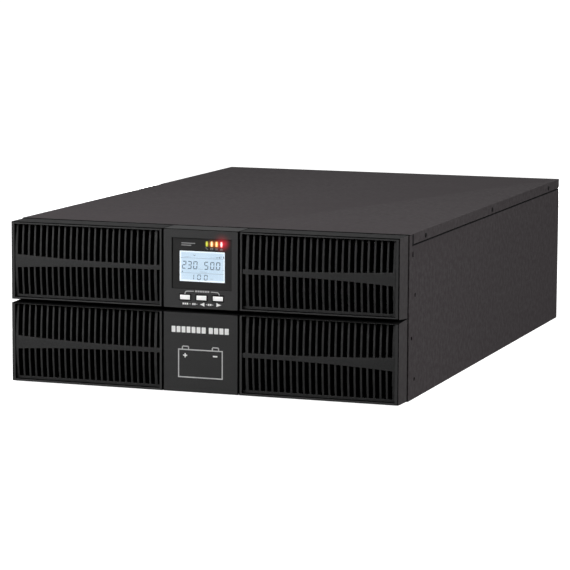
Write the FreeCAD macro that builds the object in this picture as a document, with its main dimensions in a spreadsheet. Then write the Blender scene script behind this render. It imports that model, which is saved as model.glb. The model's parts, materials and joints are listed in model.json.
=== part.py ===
import FreeCAD, Part
import Sketcher
import os
import math

# Online double-conversion uninterruptible power supply, four rack units high.
# The upper two units hold the converter, the lower two hold the battery drawer.
# Frame: +Z up, front bezels face -Y, origin at the centre of the case's underside.

Vec = FreeCAD.Vector
Rot = FreeCAD.Rotation
doc = FreeCAD.newDocument("RackUps")
sheet = doc.addObject("Spreadsheet::Sheet", "Dimensions")
_row = [1]


class Q:
    """A number that also carries the spreadsheet expression it comes from."""

    def __init__(self, v, e):
        self.v = float(v)
        self.e = e

    def _pair(self, o):
        return o if isinstance(o, Q) else Q(o, repr(float(o)))

    def __add__(self, o):
        o = self._pair(o)
        return Q(self.v + o.v, "(%s + %s)" % (self.e, o.e))

    def __radd__(self, o):
        return self._pair(o) + self

    def __sub__(self, o):
        o = self._pair(o)
        return Q(self.v - o.v, "(%s - %s)" % (self.e, o.e))

    def __rsub__(self, o):
        return self._pair(o) - self

    def __mul__(self, o):
        o = self._pair(o)
        return Q(self.v * o.v, "(%s * %s)" % (self.e, o.e))

    def __rmul__(self, o):
        return self._pair(o) * self

    def __truediv__(self, o):
        o = self._pair(o)
        return Q(self.v / o.v, "(%s / %s)" % (self.e, o.e))

    def __neg__(self):
        return Q(-self.v, "(0 - %s)" % self.e)


def dim(alias, value, note):
    r = _row[0]
    sheet.set("A%d" % r, note)
    sheet.set("B%d" % r, str(value))
    sheet.setAlias("B%d" % r, alias)
    _row[0] = r + 1
    return Q(value, "Dimensions." + alias)


def num(q):
    return q.v if isinstance(q, Q) else float(q)


# ---------------------------------------------------------------- dimensions
case_width = dim("case_width", 438.0, "outside width of the steel case")
case_height = dim("case_height", 175.2, "outside height of the steel case, four rack units")
case_depth = dim("case_depth", 648.0, "steel case, front edge to rear panel face")
case_front = dim("case_front", -308.0, "Y of the steel case's front edge")
sheet_metal = dim("sheet_metal", 1.2, "steel sheet thickness")
bezel_depth = dim("bezel_depth", 32.0, "plastic front, case edge to front face")
row_split = dim("row_split", 87.6, "height where the two front rows meet")
row_gap = dim("row_gap", 0.3, "clearance between the two front rows at the case")
top_step = dim("top_step", 0.7, "front mouldings' top below the top cover")
top_fall = dim("top_fall", 0.1, "fall of the front moulding's top face over its depth")
vee_upper = dim("vee_upper", 2.65, "rise of the upper row's underside over its depth")
vee_lower = dim("vee_lower", 1.0, "fall of the lower row's top over its depth")
base_rise = dim("base_rise", 1.0, "rise of the lower row's underside over its depth")
bezel_inset = dim("bezel_inset", 1.2, "front moulding side set in from the case side")
module_half = dim("module_half", 42.1, "half the width of the centre modules")
module_gap = dim("module_gap", 1.2, "gap between a centre module and a grille")
edge_round = dim("edge_round", 1.2, "rounding of the upper front mouldings' edges")
edge_round_low = dim("edge_round_low", 0.9, "rounding of the lower front mouldings' edges")
flange_drop = dim("flange_drop", 11.6, "height of the top cover's side flange")
cover_setback = dim("cover_setback", 14.5, "flange start behind the case front edge")
rim_top = dim("rim_top", 2.6, "upper grille rim width along the top")
rim_top_low = dim("rim_top_low", 1.05, "lower grille rim width along the top")
seam_cut = dim("seam_cut", 1.6, "shadow groove where the front meets the case, front to back")
seam_deep = dim("seam_deep", 1.0, "depth of that groove")
flange_gap = dim("flange_gap", 0.9, "gap between the top cover's flange and the case side")
rim_bottom = dim("rim_bottom", 2.3, "grille rim width along the bottom")
rim_outer = dim("rim_outer", 3.8, "grille rim width at the outer end")
rim_inner = dim("rim_inner", 3.0, "grille rim width beside the centre module")
rim_lip = dim("rim_lip", 1.6, "thickness of the grille rim, front to back")
frame_wall = dim("frame_wall", 2.0, "wall of the grille moulding behind its rim")
fin_first = dim("fin_first", 51.47, "distance of the first fin from the centre plane")
fin_pitch = dim("fin_pitch", 6.972, "louvre fin spacing")
fin_width = dim("fin_width", 2.1, "louvre fin thickness")
fin_first_width = dim("fin_first_width", 3.2, "thickness of the fin beside the centre module")
fin_count = dim("fin_count", 24, "fins in a grille")
fin_bow = dim("fin_bow", 3.0, "how far a fin's middle stands proud of its ends")
fin_recess = dim("fin_recess", 1.0, "fin middle behind the rim's face")
louvre_sill = dim("louvre_sill", 2.8, "height of the rail along the louvre's foot")
fin_back = dim("fin_back", 14.0, "fin back plane behind the rim's face")
band_mid_up = dim("band_mid_up", 132.5, "height of the upper louvres' mid line")
band_mid_low = dim("band_mid_low", 44.225, "height of the lower louvres' mid line")
band_up_in = dim("band_up_in", 2.1, "swept band above the mid line, inner end")
band_up_out = dim("band_up_out", 6.5, "swept band above the mid line, outer end")
band_dn_in = dim("band_dn_in", 2.8, "swept band below the mid line, inner end")
band_dn_out = dim("band_dn_out", 7.8, "swept band below the mid line, outer end")
panel_shift = dim("panel_shift", 1.2, "display contents offset from the centre plane")
window_half = dim("window_half", 33.6, "half width of the display overlay")
window_low = dim("window_low", 111.4, "bottom of the display overlay")
window_high = dim("window_high", 165.0, "top of the display overlay")
window_recess = dim("window_recess", 1.2, "display overlay behind the module face")
screen_half = dim("screen_half", 25.4, "half width of the visible screen")
screen_low = dim("screen_low", 119.2, "bottom of the visible screen")
screen_high = dim("screen_high", 151.4, "top of the visible screen")
led_first = dim("led_first", 5.4, "first status light from the contents' centre")
led_pitch = dim("led_pitch", 5.45, "status light spacing")
led_width = dim("led_width", 2.6, "status light width")
led_height = dim("led_height", 5.4, "status light height")
led_mid = dim("led_mid", 159.6, "height of the status lights' centres")
key_pitch = dim("key_pitch", 18.5, "push button spacing")
key_width = dim("key_width", 11.2, "push button width")
key_height = dim("key_height", 4.9, "push button height")
key_mid = dim("key_mid", 102.4, "height of the push buttons' centres")
key_gap = dim("key_gap", 1.1, "gap around a push button")
ear_hole = dim("ear_hole", 2.1, "radius of the rack bracket holes")
ear_step = dim("ear_step", 44.45, "rack bracket hole spacing, one rack unit")
ear_low = dim("ear_low", 21.0, "height of the lowest rack bracket hole")
ear_back = dim("ear_back", 21.3, "rack bracket holes behind the case front edge")
fan_size = dim("fan_size", 80.0, "fan frame side")
fan_bore = dim("fan_bore", 38.0, "fan duct radius")
fan_thick = dim("fan_thick", 25.0, "fan frame thickness")
fan_height = dim("fan_height", 130.0, "height of the fan centres")
fan_one_x = dim("fan_one_x", 165.0, "first fan centre")
fan_two_x = dim("fan_two_x", 78.0, "second fan centre")
axle_radius = dim("axle_radius", 2.0, "fan axle radius")
axle_play = dim("axle_play", 0.05, "radial clearance of the fan axle")
cell_long = dim("cell_long", 151.0, "battery length")
cell_wide = dim("cell_wide", 94.0, "battery side that lies across the drawer")
cell_tall = dim("cell_tall", 65.0, "battery side that stands up")
gland_bore = dim("gland_bore", 8.0, "cable gland bore radius")
gland_long = dim("gland_long", 22.0, "cable gland length")
stud_radius = dim("stud_radius", 2.5, "earth stud radius")
stud_long = dim("stud_long", 14.0, "earth stud length outside the rear panel")
doc.recompute()


def S(alias):
    return float(sheet.get(alias))


case_rear = case_front + case_depth
half_w = case_width / 2
inner_w = half_w - sheet_metal
face_y = case_front - bezel_depth
cover_under = case_height - sheet_metal
flange_low = case_height - flange_drop
bezel_w = half_w - bezel_inset
NODES = []


# ------------------------------------------------------------------- helpers
def place(o, x, y, z, rot=None):
    o.Placement = FreeCAD.Placement(Vec(num(x), num(y), num(z)), rot or Rot())
    for key, q in (("x", x), ("y", y), ("z", z)):
        if isinstance(q, Q):
            o.setExpression(".Placement.Base." + key, q.e)


def size(o, **props):
    for key, q in props.items():
        setattr(o, key, num(q))
        if isinstance(q, Q):
            o.setExpression(key, q.e)


_serial = [0]


def new(kind, stem):
    _serial[0] += 1
    return doc.addObject(kind, "%s_%03d" % (stem, _serial[0]))


def pbox(x0, x1, y0, y1, z0, z1):
    o = new("Part::Box", "block")
    size(o, Length=x1 - x0, Width=y1 - y0, Height=z1 - z0)
    place(o, x0, y0, z0)
    return o


AXES = {"Z": Rot(), "Y": Rot(Vec(1, 0, 0), -90), "-Y": Rot(Vec(1, 0, 0), 90),
        "X": Rot(Vec(0, 1, 0), 90), "-X": Rot(Vec(0, 1, 0), -90)}


def pcyl(x, y, z, r, length, axis="Z"):
    o = new("Part::Cylinder", "round")
    size(o, Radius=r, Height=length)
    place(o, x, y, z, AXES[axis])
    return o


def pcone(x, y, z, r1, r2, length, axis="Z"):
    o = new("Part::Cone", "taper")
    size(o, Radius1=r1, Radius2=r2, Height=length)
    place(o, x, y, z, AXES[axis])
    return o


def ptorus(x, y, z, big, small, axis="Z"):
    o = new("Part::Torus", "ring")
    size(o, Radius1=big, Radius2=small)
    place(o, x, y, z, AXES[axis])
    return o


def pprism(x, y, z, sides, r, length, axis="Z"):
    o = new("Part::Prism", "prism")
    o.Polygon = sides
    size(o, Circumradius=r, Height=length)
    place(o, x, y, z, AXES[axis])
    return o


def cut(base, tool):
    o = new("Part::Cut", "cut")
    o.Base = base
    o.Tool = tool
    return o


def fuse(*items):
    o = new("Part::MultiFuse", "joined")
    o.Shapes = list(items)
    return o


def group(*items):
    o = new("Part::Compound", "group")
    o.Links = list(items)
    return o


def node(o, label):
    o.Label = label
    NODES.append(o)
    return o


def feature(label, shape):
    o = doc.addObject("Part::Feature", label)
    o.Shape = shape
    o.Placement = FreeCAD.Placement()
    return node(o, label)


class Solid:
    """A PartDesign body made of sketches whose points are bound to the sheet."""

    def __init__(self, label, alone=True):
        self.body = doc.addObject("PartDesign::Body", label)
        self.body.Label = label
        self.n = 0
        self.label = label
        if alone:
            NODES.append(self.body)

    def sketch(self, role, offset, polys=(), circles=()):
        self.n += 1
        sk = self.body.newObject("Sketcher::SketchObject", "%s_sketch%d" % (self.label, self.n))
        plane = [f for f in self.body.Origin.OriginFeatures if f.Role == role][0]
        sk.AttachmentSupport = [(plane, "")]
        sk.MapMode = "FlatFace"
        sk.AttachmentOffset = FreeCAD.Placement(Vec(0, 0, num(offset)), Rot())
        if isinstance(offset, Q):
            sk.setExpression(".AttachmentOffset.Base.z", offset.e)
        for pts in polys:
            first = sk.GeometryCount
            k = len(pts)
            for i in range(k):
                a, b = pts[i], pts[(i + 1) % k]
                sk.addGeometry(Part.LineSegment(Vec(num(a[0]), num(a[1]), 0), Vec(num(b[0]), num(b[1]), 0)), False)
            for i in range(k):
                sk.addConstraint(Sketcher.Constraint("Coincident", first + i, 2, first + (i + 1) % k, 1))
            for i, p in enumerate(pts):
                for kind, q in (("DistanceX", p[0]), ("DistanceY", p[1])):
                    if abs(num(q)) < 1e-9:
                        sk.addConstraint(Sketcher.Constraint("PointOnObject", first + i, 1, -2 if kind == "DistanceX" else -1))
                        continue
                    c = sk.addConstraint(Sketcher.Constraint(kind, -1, 1, first + i, 1, num(q)))
                    if isinstance(q, Q):
                        sk.setExpression("Constraints[%d]" % c, q.e)
        for cx, cy, r in circles:
            g = sk.addGeometry(Part.Circle(Vec(num(cx), num(cy), 0), Vec(0, 0, 1), num(r)), False)
            c = sk.addConstraint(Sketcher.Constraint("Radius", g, num(r)))
            if isinstance(r, Q):
                sk.setExpression("Constraints[%d]" % c, r.e)
            for kind, q in (("DistanceX", cx), ("DistanceY", cy)):
                if abs(num(q)) < 1e-9:
                    sk.addConstraint(Sketcher.Constraint("PointOnObject", g, 3, -2 if kind == "DistanceX" else -1))
                    continue
                c = sk.addConstraint(Sketcher.Constraint(kind, -1, 1, g, 3, num(q)))
                if isinstance(q, Q):
                    sk.setExpression("Constraints[%d]" % c, q.e)
        return sk

    def _feature(self, kind, sk, length, reverse):
        f = self.body.newObject(kind, "%s_%s%d" % (self.label, kind[12:].lower(), self.n))
        f.Profile = sk
        f.Type = 0
        f.Length = num(length)
        if isinstance(length, Q):
            f.setExpression("Length", length.e)
        f.Reversed = reverse
        return f

    def _pad(self, sk, length, reverse):
        before = self.body.Shape.Volume if self.body.Tip else 0.0
        f = self._feature("PartDesign::Pad", sk, length, reverse)
        doc.recompute()
        if self.body.Shape.Volume <= before + 1e-6:
            raise RuntimeError("pad adds nothing: " + f.Name)
        return self

    def _pocket(self, sk, length, reverse):
        before = self.body.Shape.Volume
        f = self._feature("PartDesign::Pocket", sk, length, reverse)
        doc.recompute()
        if not self.body.Shape.Volume < before - 1e-6:
            raise RuntimeError("pocket cuts nothing: " + f.Name)
        return self

    # material between y0 and y0 + length, outline in X and Z
    def pad_y(self, y0, length, polys=(), circles=()):
        return self._pad(self.sketch("XZ_Plane", -y0 if isinstance(y0, Q) else -float(y0), polys, circles), length, True)

    def pocket_y(self, y0, length, polys=(), circles=()):
        return self._pocket(self.sketch("XZ_Plane", -y0 if isinstance(y0, Q) else -float(y0), polys, circles), length, False)

    # material between x0 and x0 + length, outline in Y and Z
    def pad_x(self, x0, length, polys=(), circles=()):
        return self._pad(self.sketch("YZ_Plane", x0, polys, circles), length, False)

    def pocket_x(self, x0, length, polys=(), circles=()):
        return self._pocket(self.sketch("YZ_Plane", x0, polys, circles), length, True)

    def pad_z(self, z0, length, polys=(), circles=()):
        return self._pad(self.sketch("XY_Plane", z0, polys, circles), length, False)

    def pocket_z(self, z0, length, polys=(), circles=()):
        return self._pocket(self.sketch("XY_Plane", z0, polys, circles), length, True)

    def fillet(self, radius, test):
        base = self.body.Tip
        names = ["Edge%d" % (i + 1) for i, e in enumerate(base.Shape.Edges) if test(e)]
        if not names:
            raise RuntimeError("no edge to round on " + self.label)
        self.n += 1
        f = self.body.newObject("PartDesign::Fillet", "%s_fillet%d" % (self.label, self.n))
        f.Base = (base, names)
        f.Radius = num(radius)
        if isinstance(radius, Q):
            f.setExpression("Radius", radius.e)
        doc.recompute()
        return self


def rect(x0, x1, z0, z1):
    return [(x0, z0), (x1, z0), (x1, z1), (x0, z1)]


def mid(e):
    b = e.BoundBox
    return b


# ------------------------------------------------------------- steel case tub
tub = Solid("chassis_tub")
tub.pad_y(case_front, case_depth, [[
    (-half_w, 0), (half_w, 0), (half_w, flange_low - flange_gap), (inner_w, flange_low - flange_gap),
    (inner_w, sheet_metal), (-inner_w, sheet_metal), (-inner_w, flange_low - flange_gap), (-half_w, flange_low - flange_gap)]])
inner_in = inner_w - sheet_metal
tub.pad_y(case_front + cover_setback - 1.5, case_depth - cover_setback + 1.5 - sheet_metal,
          [rect(inner_in, inner_w, flange_low - 2.6, cover_under),
           rect(-inner_w, -inner_in, flange_low - 2.6, cover_under)])
tub.pad_y(case_front, cover_setback - 1.3,
          [rect(inner_w, half_w, flange_low - flange_gap, cover_under),
           rect(-half_w, -inner_w, flange_low - flange_gap, cover_under)])
ear_y = case_front + ear_back
ear_slot_z = ear_low + ear_step * 3 - 1.0
tub.pocket_x(-half_w - 1, case_width + 2, [rect(case_front + 10.2, case_front + 13.4, ear_slot_z - 2.7, ear_slot_z + 2.7)],
             [(ear_y, ear_low, ear_hole), (ear_y, ear_low + ear_step * 2, ear_hole),
              (case_front + 9.6, ear_low + ear_step, ear_hole)])
screw_ys = [case_front + 58.2, case_front + 327.0, case_front + 593.0]
screw_z = flange_low + 5.0
tub.pocket_x(-half_w - 1, case_width + 2, [], [(y, screw_z, 1.7) for y in screw_ys])

# ------------------------------------------------------------------ top cover
cover = Solid("top_cover")
cover.pad_y(case_front, case_depth, [rect(-half_w, half_w, cover_under, case_height)])
cover.pad_y(case_front + cover_setback, case_depth - cover_setback,
            [rect(inner_w, half_w, flange_low, cover_under), rect(-half_w, -inner_w, flange_low, cover_under)])
cover.pocket_x(-half_w - 1, case_width + 2, [], [(y, screw_z, 1.7) for y in screw_ys])
cover.pocket_z(cover_under - 0.5, sheet_metal + 1.0, [rect(12.0, 17.0, case_front - 1, case_front + 1.6)])
cover.fillet(0.8, lambda e: e.BoundBox.YLength > 400 and e.BoundBox.ZMin > S("case_height") - 0.01
             and abs(abs(e.BoundBox.XMin) - S("case_width") / 2) < 0.01)

# ----------------------------------------------------------------- rear panel
rear = Solid("rear_panel")
rear_in = case_rear - sheet_metal
rear.pad_y(rear_in, sheet_metal, [rect(-inner_w, inner_w, sheet_metal, cover_under)])
fan_holes = [(s * 35.75, t * 35.75) for s in (-1, 1) for t in (-1, 1)]
term_x0, term_x1, term_z0, term_z1 = -146.0, -16.0, 93.0, 128.0
rear.pocket_y(rear_in, sheet_metal, [
    rect(term_x0 + 4, term_x1 - 4, term_z0 + 5, term_z1 - 5),
    rect(-4.0, 22.0, 101.0, 137.0),
    rect(-109.0, -21.0, 141.0, 165.0),
    rect(-147.0, -129.0, 151.0, 160.0),
    rect(-171.0, -159.0, 150.0, 161.0),
    rect(-202.0, -188.0, 150.0, 160.0),
    rect(-170.0, -130.0, 34.0, 56.0)],
    [(fan_one_x, fan_height, fan_bore), (fan_two_x, fan_height, fan_bore)])
rear.pocket_y(rear_in, sheet_metal, [rect(30.0 + 9.0 * i, 34.0 + 9.0 * i, 26.0, 66.0) for i in range(18)])
rear.pocket_y(rear_in, sheet_metal, [],
              [(fan_one_x + a, fan_height + b, 2.2) for a, b in fan_holes]
              + [(fan_two_x + a, fan_height + b, 2.2) for a, b in fan_holes]
              + [(-194.0, 22.0, stud_radius + 0.1), (term_x0 - 4.5, 110.5, 2.2)]
              + [(-113.5, 153.0, 1.7), (-16.5, 153.0, 1.7)])

# ------------------------------------------------- front plate of upper section
plate_w = inner_w
plate = Solid("front_plate")
plate.pad_y(case_front, sheet_metal, [rect(-plate_w, plate_w, row_split + 0.6, cover_under)])
plate.pocket_y(case_front, sheet_metal, [rect(s * (64.0 + 35.0 * i) if s > 0 else s * (92.0 + 35.0 * i),
                                              s * (92.0 + 35.0 * i) if s > 0 else s * (64.0 + 35.0 * i), 98.0, 166.0)
                                         for s in (-1, 1) for i in range(4)])
plate.pocket_y(case_front, sheet_metal, [rect(-35.0, 35.0, 97.0, 167.0)])
peg_x = (55.0, 205.0)
peg_up = (100.0, 164.0)
peg_dn = (12.0, 76.0)
plate.pocket_y(case_front, sheet_metal, [], [(s * x, z, 3.2) for s in (-1, 1) for x in peg_x for z in peg_up])

# ------------------------------------------------------ shelf over the drawer
shelf = Solid("mid_shelf")
shelf.pad_y(case_front + sheet_metal + 0.1, case_depth - sheet_metal * 2 - 0.2,
            [[(-plate_w, row_split - 1.0), (plate_w, row_split - 1.0), (plate_w, row_split + 11.0), (plate_w - sheet_metal, row_split + 11.0),
              (plate_w - sheet_metal, row_split + 0.2), (-plate_w + sheet_metal, row_split + 0.2), (-plate_w + sheet_metal, row_split + 11.0), (-plate_w, row_split + 11.0)]])
shelf.pocket_z(row_split - 2.0, 4.0, [rect(-160.0 + 60.0 * i, -120.0 + 60.0 * i, -200.0, -192.0) for i in range(6)])


# --------------------------------------------------------------- front mouldings
def moulding(label, x0, x1, upper):
    """Hollow front block whose top and underside slope towards its face."""
    if upper:
        zb0, zb1 = row_split + row_gap / 2, case_height - top_step
        zf0, zf1 = zb0 + vee_upper, case_height - top_step - top_fall
    else:
        zb0, zb1 = Q(0.3, "0.3"), row_split - row_gap / 2
        zf0, zf1 = zb0 + base_rise, zb1 - vee_lower
    m = Solid(label)
    if upper:
        # the top stops short of the cover and leaves a shadow groove along the case
        m.pad_x(x0, x1 - x0, [[(case_front, zb0), (case_front, zb1 - seam_deep), (case_front - seam_cut, zb1 - seam_deep),
                               (case_front - seam_cut, zb1), (face_y, zf1), (face_y, zf0)]])
    else:
        m.pad_x(x0, x1 - x0, [[(case_front, zb0), (case_front, zb1), (face_y, zf1), (face_y, zf0)]])
    return m, zb0, zb1, zf0, zf1


def outer_edges(front, x_side, face):
    """Front perimeter edges, and the long side edges, of a front moulding."""
    def test(e):
        b = e.BoundBox
        if b.YLength < 0.01 and abs(b.YMin - face) < 0.01:
            return True
        return False
    return test


def grille_frame(label, side, upper):
    a = module_half + module_gap
    bx = bezel_w
    x0, x1 = (a, bx) if side > 0 else (-bx, -a)
    m, zb0, zb1, zf0, zf1 = moulding(label, x0, x1, upper)
    m.fillet(edge_round if upper else edge_round_low, outer_edges(None, None, S("case_front") - S("bezel_depth")))
    out0, out1 = (bx - seam_deep, bx + 1.0) if side > 0 else (-bx - 1.0, -bx + seam_deep)
    m.pocket_z(zb0 - 1.0, zb1 - zb0 + 2.0, [rect(out0, out1, case_front - seam_cut, case_front + 1.0)])
    o0, o1 = (a + rim_inner, bx - rim_outer) if side > 0 else (-bx + rim_outer, -a - rim_inner)
    rt = rim_top if upper else rim_top_low
    m.pocket_y(face_y - 1.0, bezel_depth + 2.0, [rect(o0, o1, zf0 + rim_bottom, zf1 - rt)])
    roof_f, roof_b = (2.2, 2.2) if upper else (0.95, 1.0)
    m.pocket_x(x0 + frame_wall, x1 - x0 - frame_wall * 2,
               [[(face_y + rim_lip, zf0 + 1.7), (case_front + 1.0, zb0 + 1.6), (case_front + 1.0, zb1 - roof_b), (face_y + rim_lip, zf1 - roof_f)]])
    pegs = peg_up if upper else peg_dn
    # snap pegs on ribs that reach back from the side walls
    for px in peg_x:
        if px < 100:
            r0, r1 = (x0 + 1.0, x0 + 17.0) if side > 0 else (x1 - 17.0, x1 - 1.0)
        else:
            r0, r1 = (x1 - 17.0, x1 - 1.0) if side > 0 else (x0 + 1.0, x0 + 17.0)
        m.pad_y(case_front - 5.0, 5.0, [rect(r0, r1, z - 4.0, z + 4.0) for z in pegs])
    m.pad_y(case_front - 0.5, 6.5, [], [(side * x, z, 2.5) for x in peg_x for z in pegs])
    return m


def louvre(label, side, upper):
    """Bowed fins between a top and a bottom rail, crossed by a swept band."""
    if upper:
        lo = S("row_split") + S("row_gap") / 2 + S("vee_upper") + S("rim_bottom")
        hi = S("case_height") - S("top_step") - S("top_fall") - S("rim_top")
    else:
        lo = 0.3 + S("base_rise") + S("rim_bottom")
        hi = S("row_split") - S("row_gap") / 2 - S("vee_lower") - S("rim_top_low")
    a = S("module_half") + S("module_gap")
    bx = S("case_width") / 2 - S("bezel_inset")
    o0, o1 = a + S("rim_inner") + 0.15, bx - S("rim_outer") - 0.15
    lo += 0.15
    hi -= 0.15
    zm = S("band_mid_up") if upper else S("band_mid_low")
    yf = S("case_front") - S("bezel_depth")
    y_mid = yf + S("fin_recess")
    y_end = y_mid + S("fin_bow")
    y_back = yf + S("fin_back")
    arc = Part.Arc(Vec(o0, y_end, lo), Vec(o0, y_mid, zm), Vec(o0, y_end, hi)).toShape()
    wire = Part.Wire([arc, Part.makeLine(Vec(o0, y_end, hi), Vec(o0, y_back, hi)),
                      Part.makeLine(Vec(o0, y_back, hi), Vec(o0, y_back, lo)),
                      Part.makeLine(Vec(o0, y_back, lo), Vec(o0, y_end, lo))])
    slab = Part.Face(wire).extrude(Vec(o1 - o0, 0, 0))
    flange = Part.makeBox(o1 - o0 + 1.6, 3.0, hi - lo + 0.9, Vec(o0 - 0.8, y_back - 3.0, lo - 0.45))
    slab = slab.fuse(flange)
    x_in, x_out = S("fin_first"), S("fin_first") + S("fin_pitch") * (S("fin_count") - 1)

    def edge(x, up):
        u = max(0.0, min(1.0, (x - x_in) / (x_out - x_in)))
        w = u ** 2.2
        if up:
            return zm + S("band_up_in") + (S("band_up_out") - S("band_up_in")) * w
        return zm - S("band_dn_in") - (S("band_dn_out") - S("band_dn_in")) * w

    n = int(S("fin_count"))
    fins = []
    for k in range(n):
        c = x_in + S("fin_pitch") * k
        h = (S("fin_first_width") if k == 0 else S("fin_width")) / 2
        fins.append((c - h, c + h))
    spans = [(o0, fins[0][0])] + [(fins[k][1], fins[k + 1][0]) for k in range(n - 1)]
    tools = []
    rail = 0.0
    sill = S("louvre_sill")
    for s0, s1 in spans:
        up = [Vec(s0, 0, edge(s0, True)), Vec(s1, 0, edge(s1, True)), Vec(s1, 0, hi + 1 - rail), Vec(s0, 0, hi + 1 - rail)]
        dn = [Vec(s0, 0, edge(s0, False)), Vec(s1, 0, edge(s1, False)), Vec(s1, 0, lo - 1 + rail), Vec(s0, 0, lo - 1 + rail)]
        dn[2].z = dn[3].z = lo + sill
        for p in (up, dn):
            q = [Vec(v.x, yf - 1, v.z) for v in p]
            tools.append(Part.Face(Part.makePolygon(q + [q[0]])).extrude(Vec(0, y_back - 3.0 - yf + 1, 0)))
    # openings in the back flange, a little shorter, leave the two rails
    for s0, s1 in spans:
        up = [Vec(s0, 0, edge(s0, True)), Vec(s1, 0, edge(s1, True)), Vec(s1, 0, hi - 1.6), Vec(s0, 0, hi - 1.6)]
        dn = [Vec(s0, 0, edge(s0, False)), Vec(s1, 0, edge(s1, False)), Vec(s1, 0, lo + sill), Vec(s0, 0, lo + sill)]
        for p in (up, dn):
            q = [Vec(v.x, y_back - 4.0, v.z) for v in p]
            tools.append(Part.Face(Part.makePolygon(q + [q[0]])).extrude(Vec(0, 6.0, 0)))
    body = slab.cut(Part.makeCompound(tools)).removeSplitter()
    if side < 0:
        body = body.mirror(Vec(0, 0, 0), Vec(1, 0, 0))
    solids = body.Solids
    return feature(label, solids[0] if len(solids) == 1 else Part.makeCompound(solids))


for row, upper in (("upper", True), ("lower", False)):
    for name, side in (("left", -1), ("right", 1)):
        grille_frame("%s_%s_grille" % (row, name), side, upper)
        louvre("%s_%s_louvre" % (row, name), side, upper)

# ------------------------------------------------------------- display module
disp, dzb0, dzb1, dzf0, dzf1 = moulding("display_housing", -module_half, module_half, True)
disp.fillet(Q(1.0, "1.0"), outer_edges(None, None, S("case_front") - S("bezel_depth")))
disp.pocket_x(-module_half + frame_wall, module_half * 2 - frame_wall * 2,
              [[(face_y + 3.2, dzf0 + 2.2), (case_front + 1.0, dzb0 + 2.2), (case_front + 1.0, dzb1 - 2.4), (face_y + 3.2, dzf1 - 2.4)]])
ws0, ws1 = panel_shift - window_half, panel_shift + window_half
disp.pocket_y(face_y - 1.0, window_recess + 2.0 + 0.2, [rect(ws0, ws1, window_low, window_high)])
disp.pocket_y(face_y - 1.0, bezel_depth, [rect(panel_shift - screen_half - 3.0, panel_shift + screen_half + 3.0, screen_low - 3.0, screen_high + 1.6),
                                           rect(panel_shift + led_first - 2.0, panel_shift + led_first + led_pitch * 3 + 2.0, led_mid - 3.4, led_mid + 3.4)])
key_xs = [panel_shift - key_pitch, panel_shift, panel_shift + key_pitch]
disp.pocket_y(face_y - 1.0, 8.0, [rect(x - key_width / 2 - key_gap, x + key_width / 2 + key_gap, key_mid - key_height / 2 - key_gap, key_mid + key_height / 2 + key_gap) for x in key_xs])
# four bosses that carry the display board
disp.pad_y(face_y + 3.0, 7.0, [], [(panel_shift + sx * 33.5, z, 2.6) for sx in (-1, 1) for z in (107.0, 168.0)])

overlay = Solid("display_overlay")
ov_y = face_y + window_recess
overlay.pad_y(ov_y, 1.0, [rect(ws0 + 0.1, ws1 - 0.1, window_low + 0.1, window_high - 0.1)])
overlay.pocket_y(ov_y, 1.0, [rect(panel_shift - screen_half, panel_shift + screen_half, screen_low, screen_high)]
                 + [rect(panel_shift + led_first + led_pitch * i - led_width / 2 - 0.1, panel_shift + led_first + led_pitch * i + led_width / 2 + 0.1,
                         led_mid - led_height / 2 - 0.1, led_mid + led_height / 2 + 0.1) for i in range(4)])

lcd_y = face_y + 2.95
lcd = node(pbox(panel_shift - screen_half - 2.6, panel_shift + screen_half + 2.6, lcd_y, lcd_y + 6.05, screen_low - 2.6, screen_high + 1.4), "lcd_module")
glass = node(pbox(panel_shift - screen_half - 2.2, panel_shift + screen_half + 2.2, face_y + window_recess + 1.1, lcd_y - 0.05, screen_low - 2.2, screen_high + 1.2), "lcd_glass")

pipes = []
for i in range(4):
    x = panel_shift + led_first + led_pitch * i
    pipe = pbox(x - led_width / 2, x + led_width / 2, ov_y - 0.3, ov_y + 7.8, led_mid - led_height / 2, led_mid + led_height / 2)
    soft = new("Part::Fillet", "tip")
    soft.Base = pipe
    soft.Edges = [(k, 0.4, 0.4) for k in range(1, 13)]
    pipes.append(soft)
node(group(*pipes), "light_pipes")

board_y = face_y + 10.0
dboard = Solid("display_board")
dboard.pad_y(board_y, 1.6, [rect(panel_shift - 37.0, panel_shift + 37.0, 93.5, 170.0)])
dboard.pocket_y(board_y, 1.6, [], [(panel_shift + sx * 33.5, z, 1.5) for sx in (-1, 1) for z in (107.0, 168.0)])
leds = node(group(*[pbox(panel_shift + led_first + led_pitch * i - 1.0, panel_shift + led_first + led_pitch * i + 1.0, board_y - 0.8, board_y, led_mid - 1.2, led_mid + 1.2) for i in range(4)]), "indicator_leds")
switches = []
for x in key_xs:
    switches.append(fuse(pbox(x - 3.0, x + 3.0, board_y - 3.4, board_y, key_mid - 3.0, key_mid + 3.0),
                         pcyl(x, board_y - 3.7, key_mid, 1.6, 0.4, "Y")))
node(group(*switches), "key_switches")
dscrews = []
for sx in (-1, 1):
    for z in (107.0, 168.0):
        dscrews.append(fuse(pcyl(panel_shift + sx * 33.5, board_y + 1.6, z, 2.5, 1.6, "Y"), pcyl(panel_shift + sx * 33.5, board_y, z, 1.4, 1.7, "Y")))
node(group(*dscrews), "board_screws")
dback = Solid("display_back_cover")
dback.pad_y(case_front - 3.0, 1.6, [rect(-module_half + frame_wall + 0.2, module_half - frame_wall - 0.2, dzb0 + 2.6, dzb1 - 2.8)])
dback.pocket_y(case_front - 3.0, 1.6, [rect(-8.0, 8.0, 120.0, 132.0)])

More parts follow.
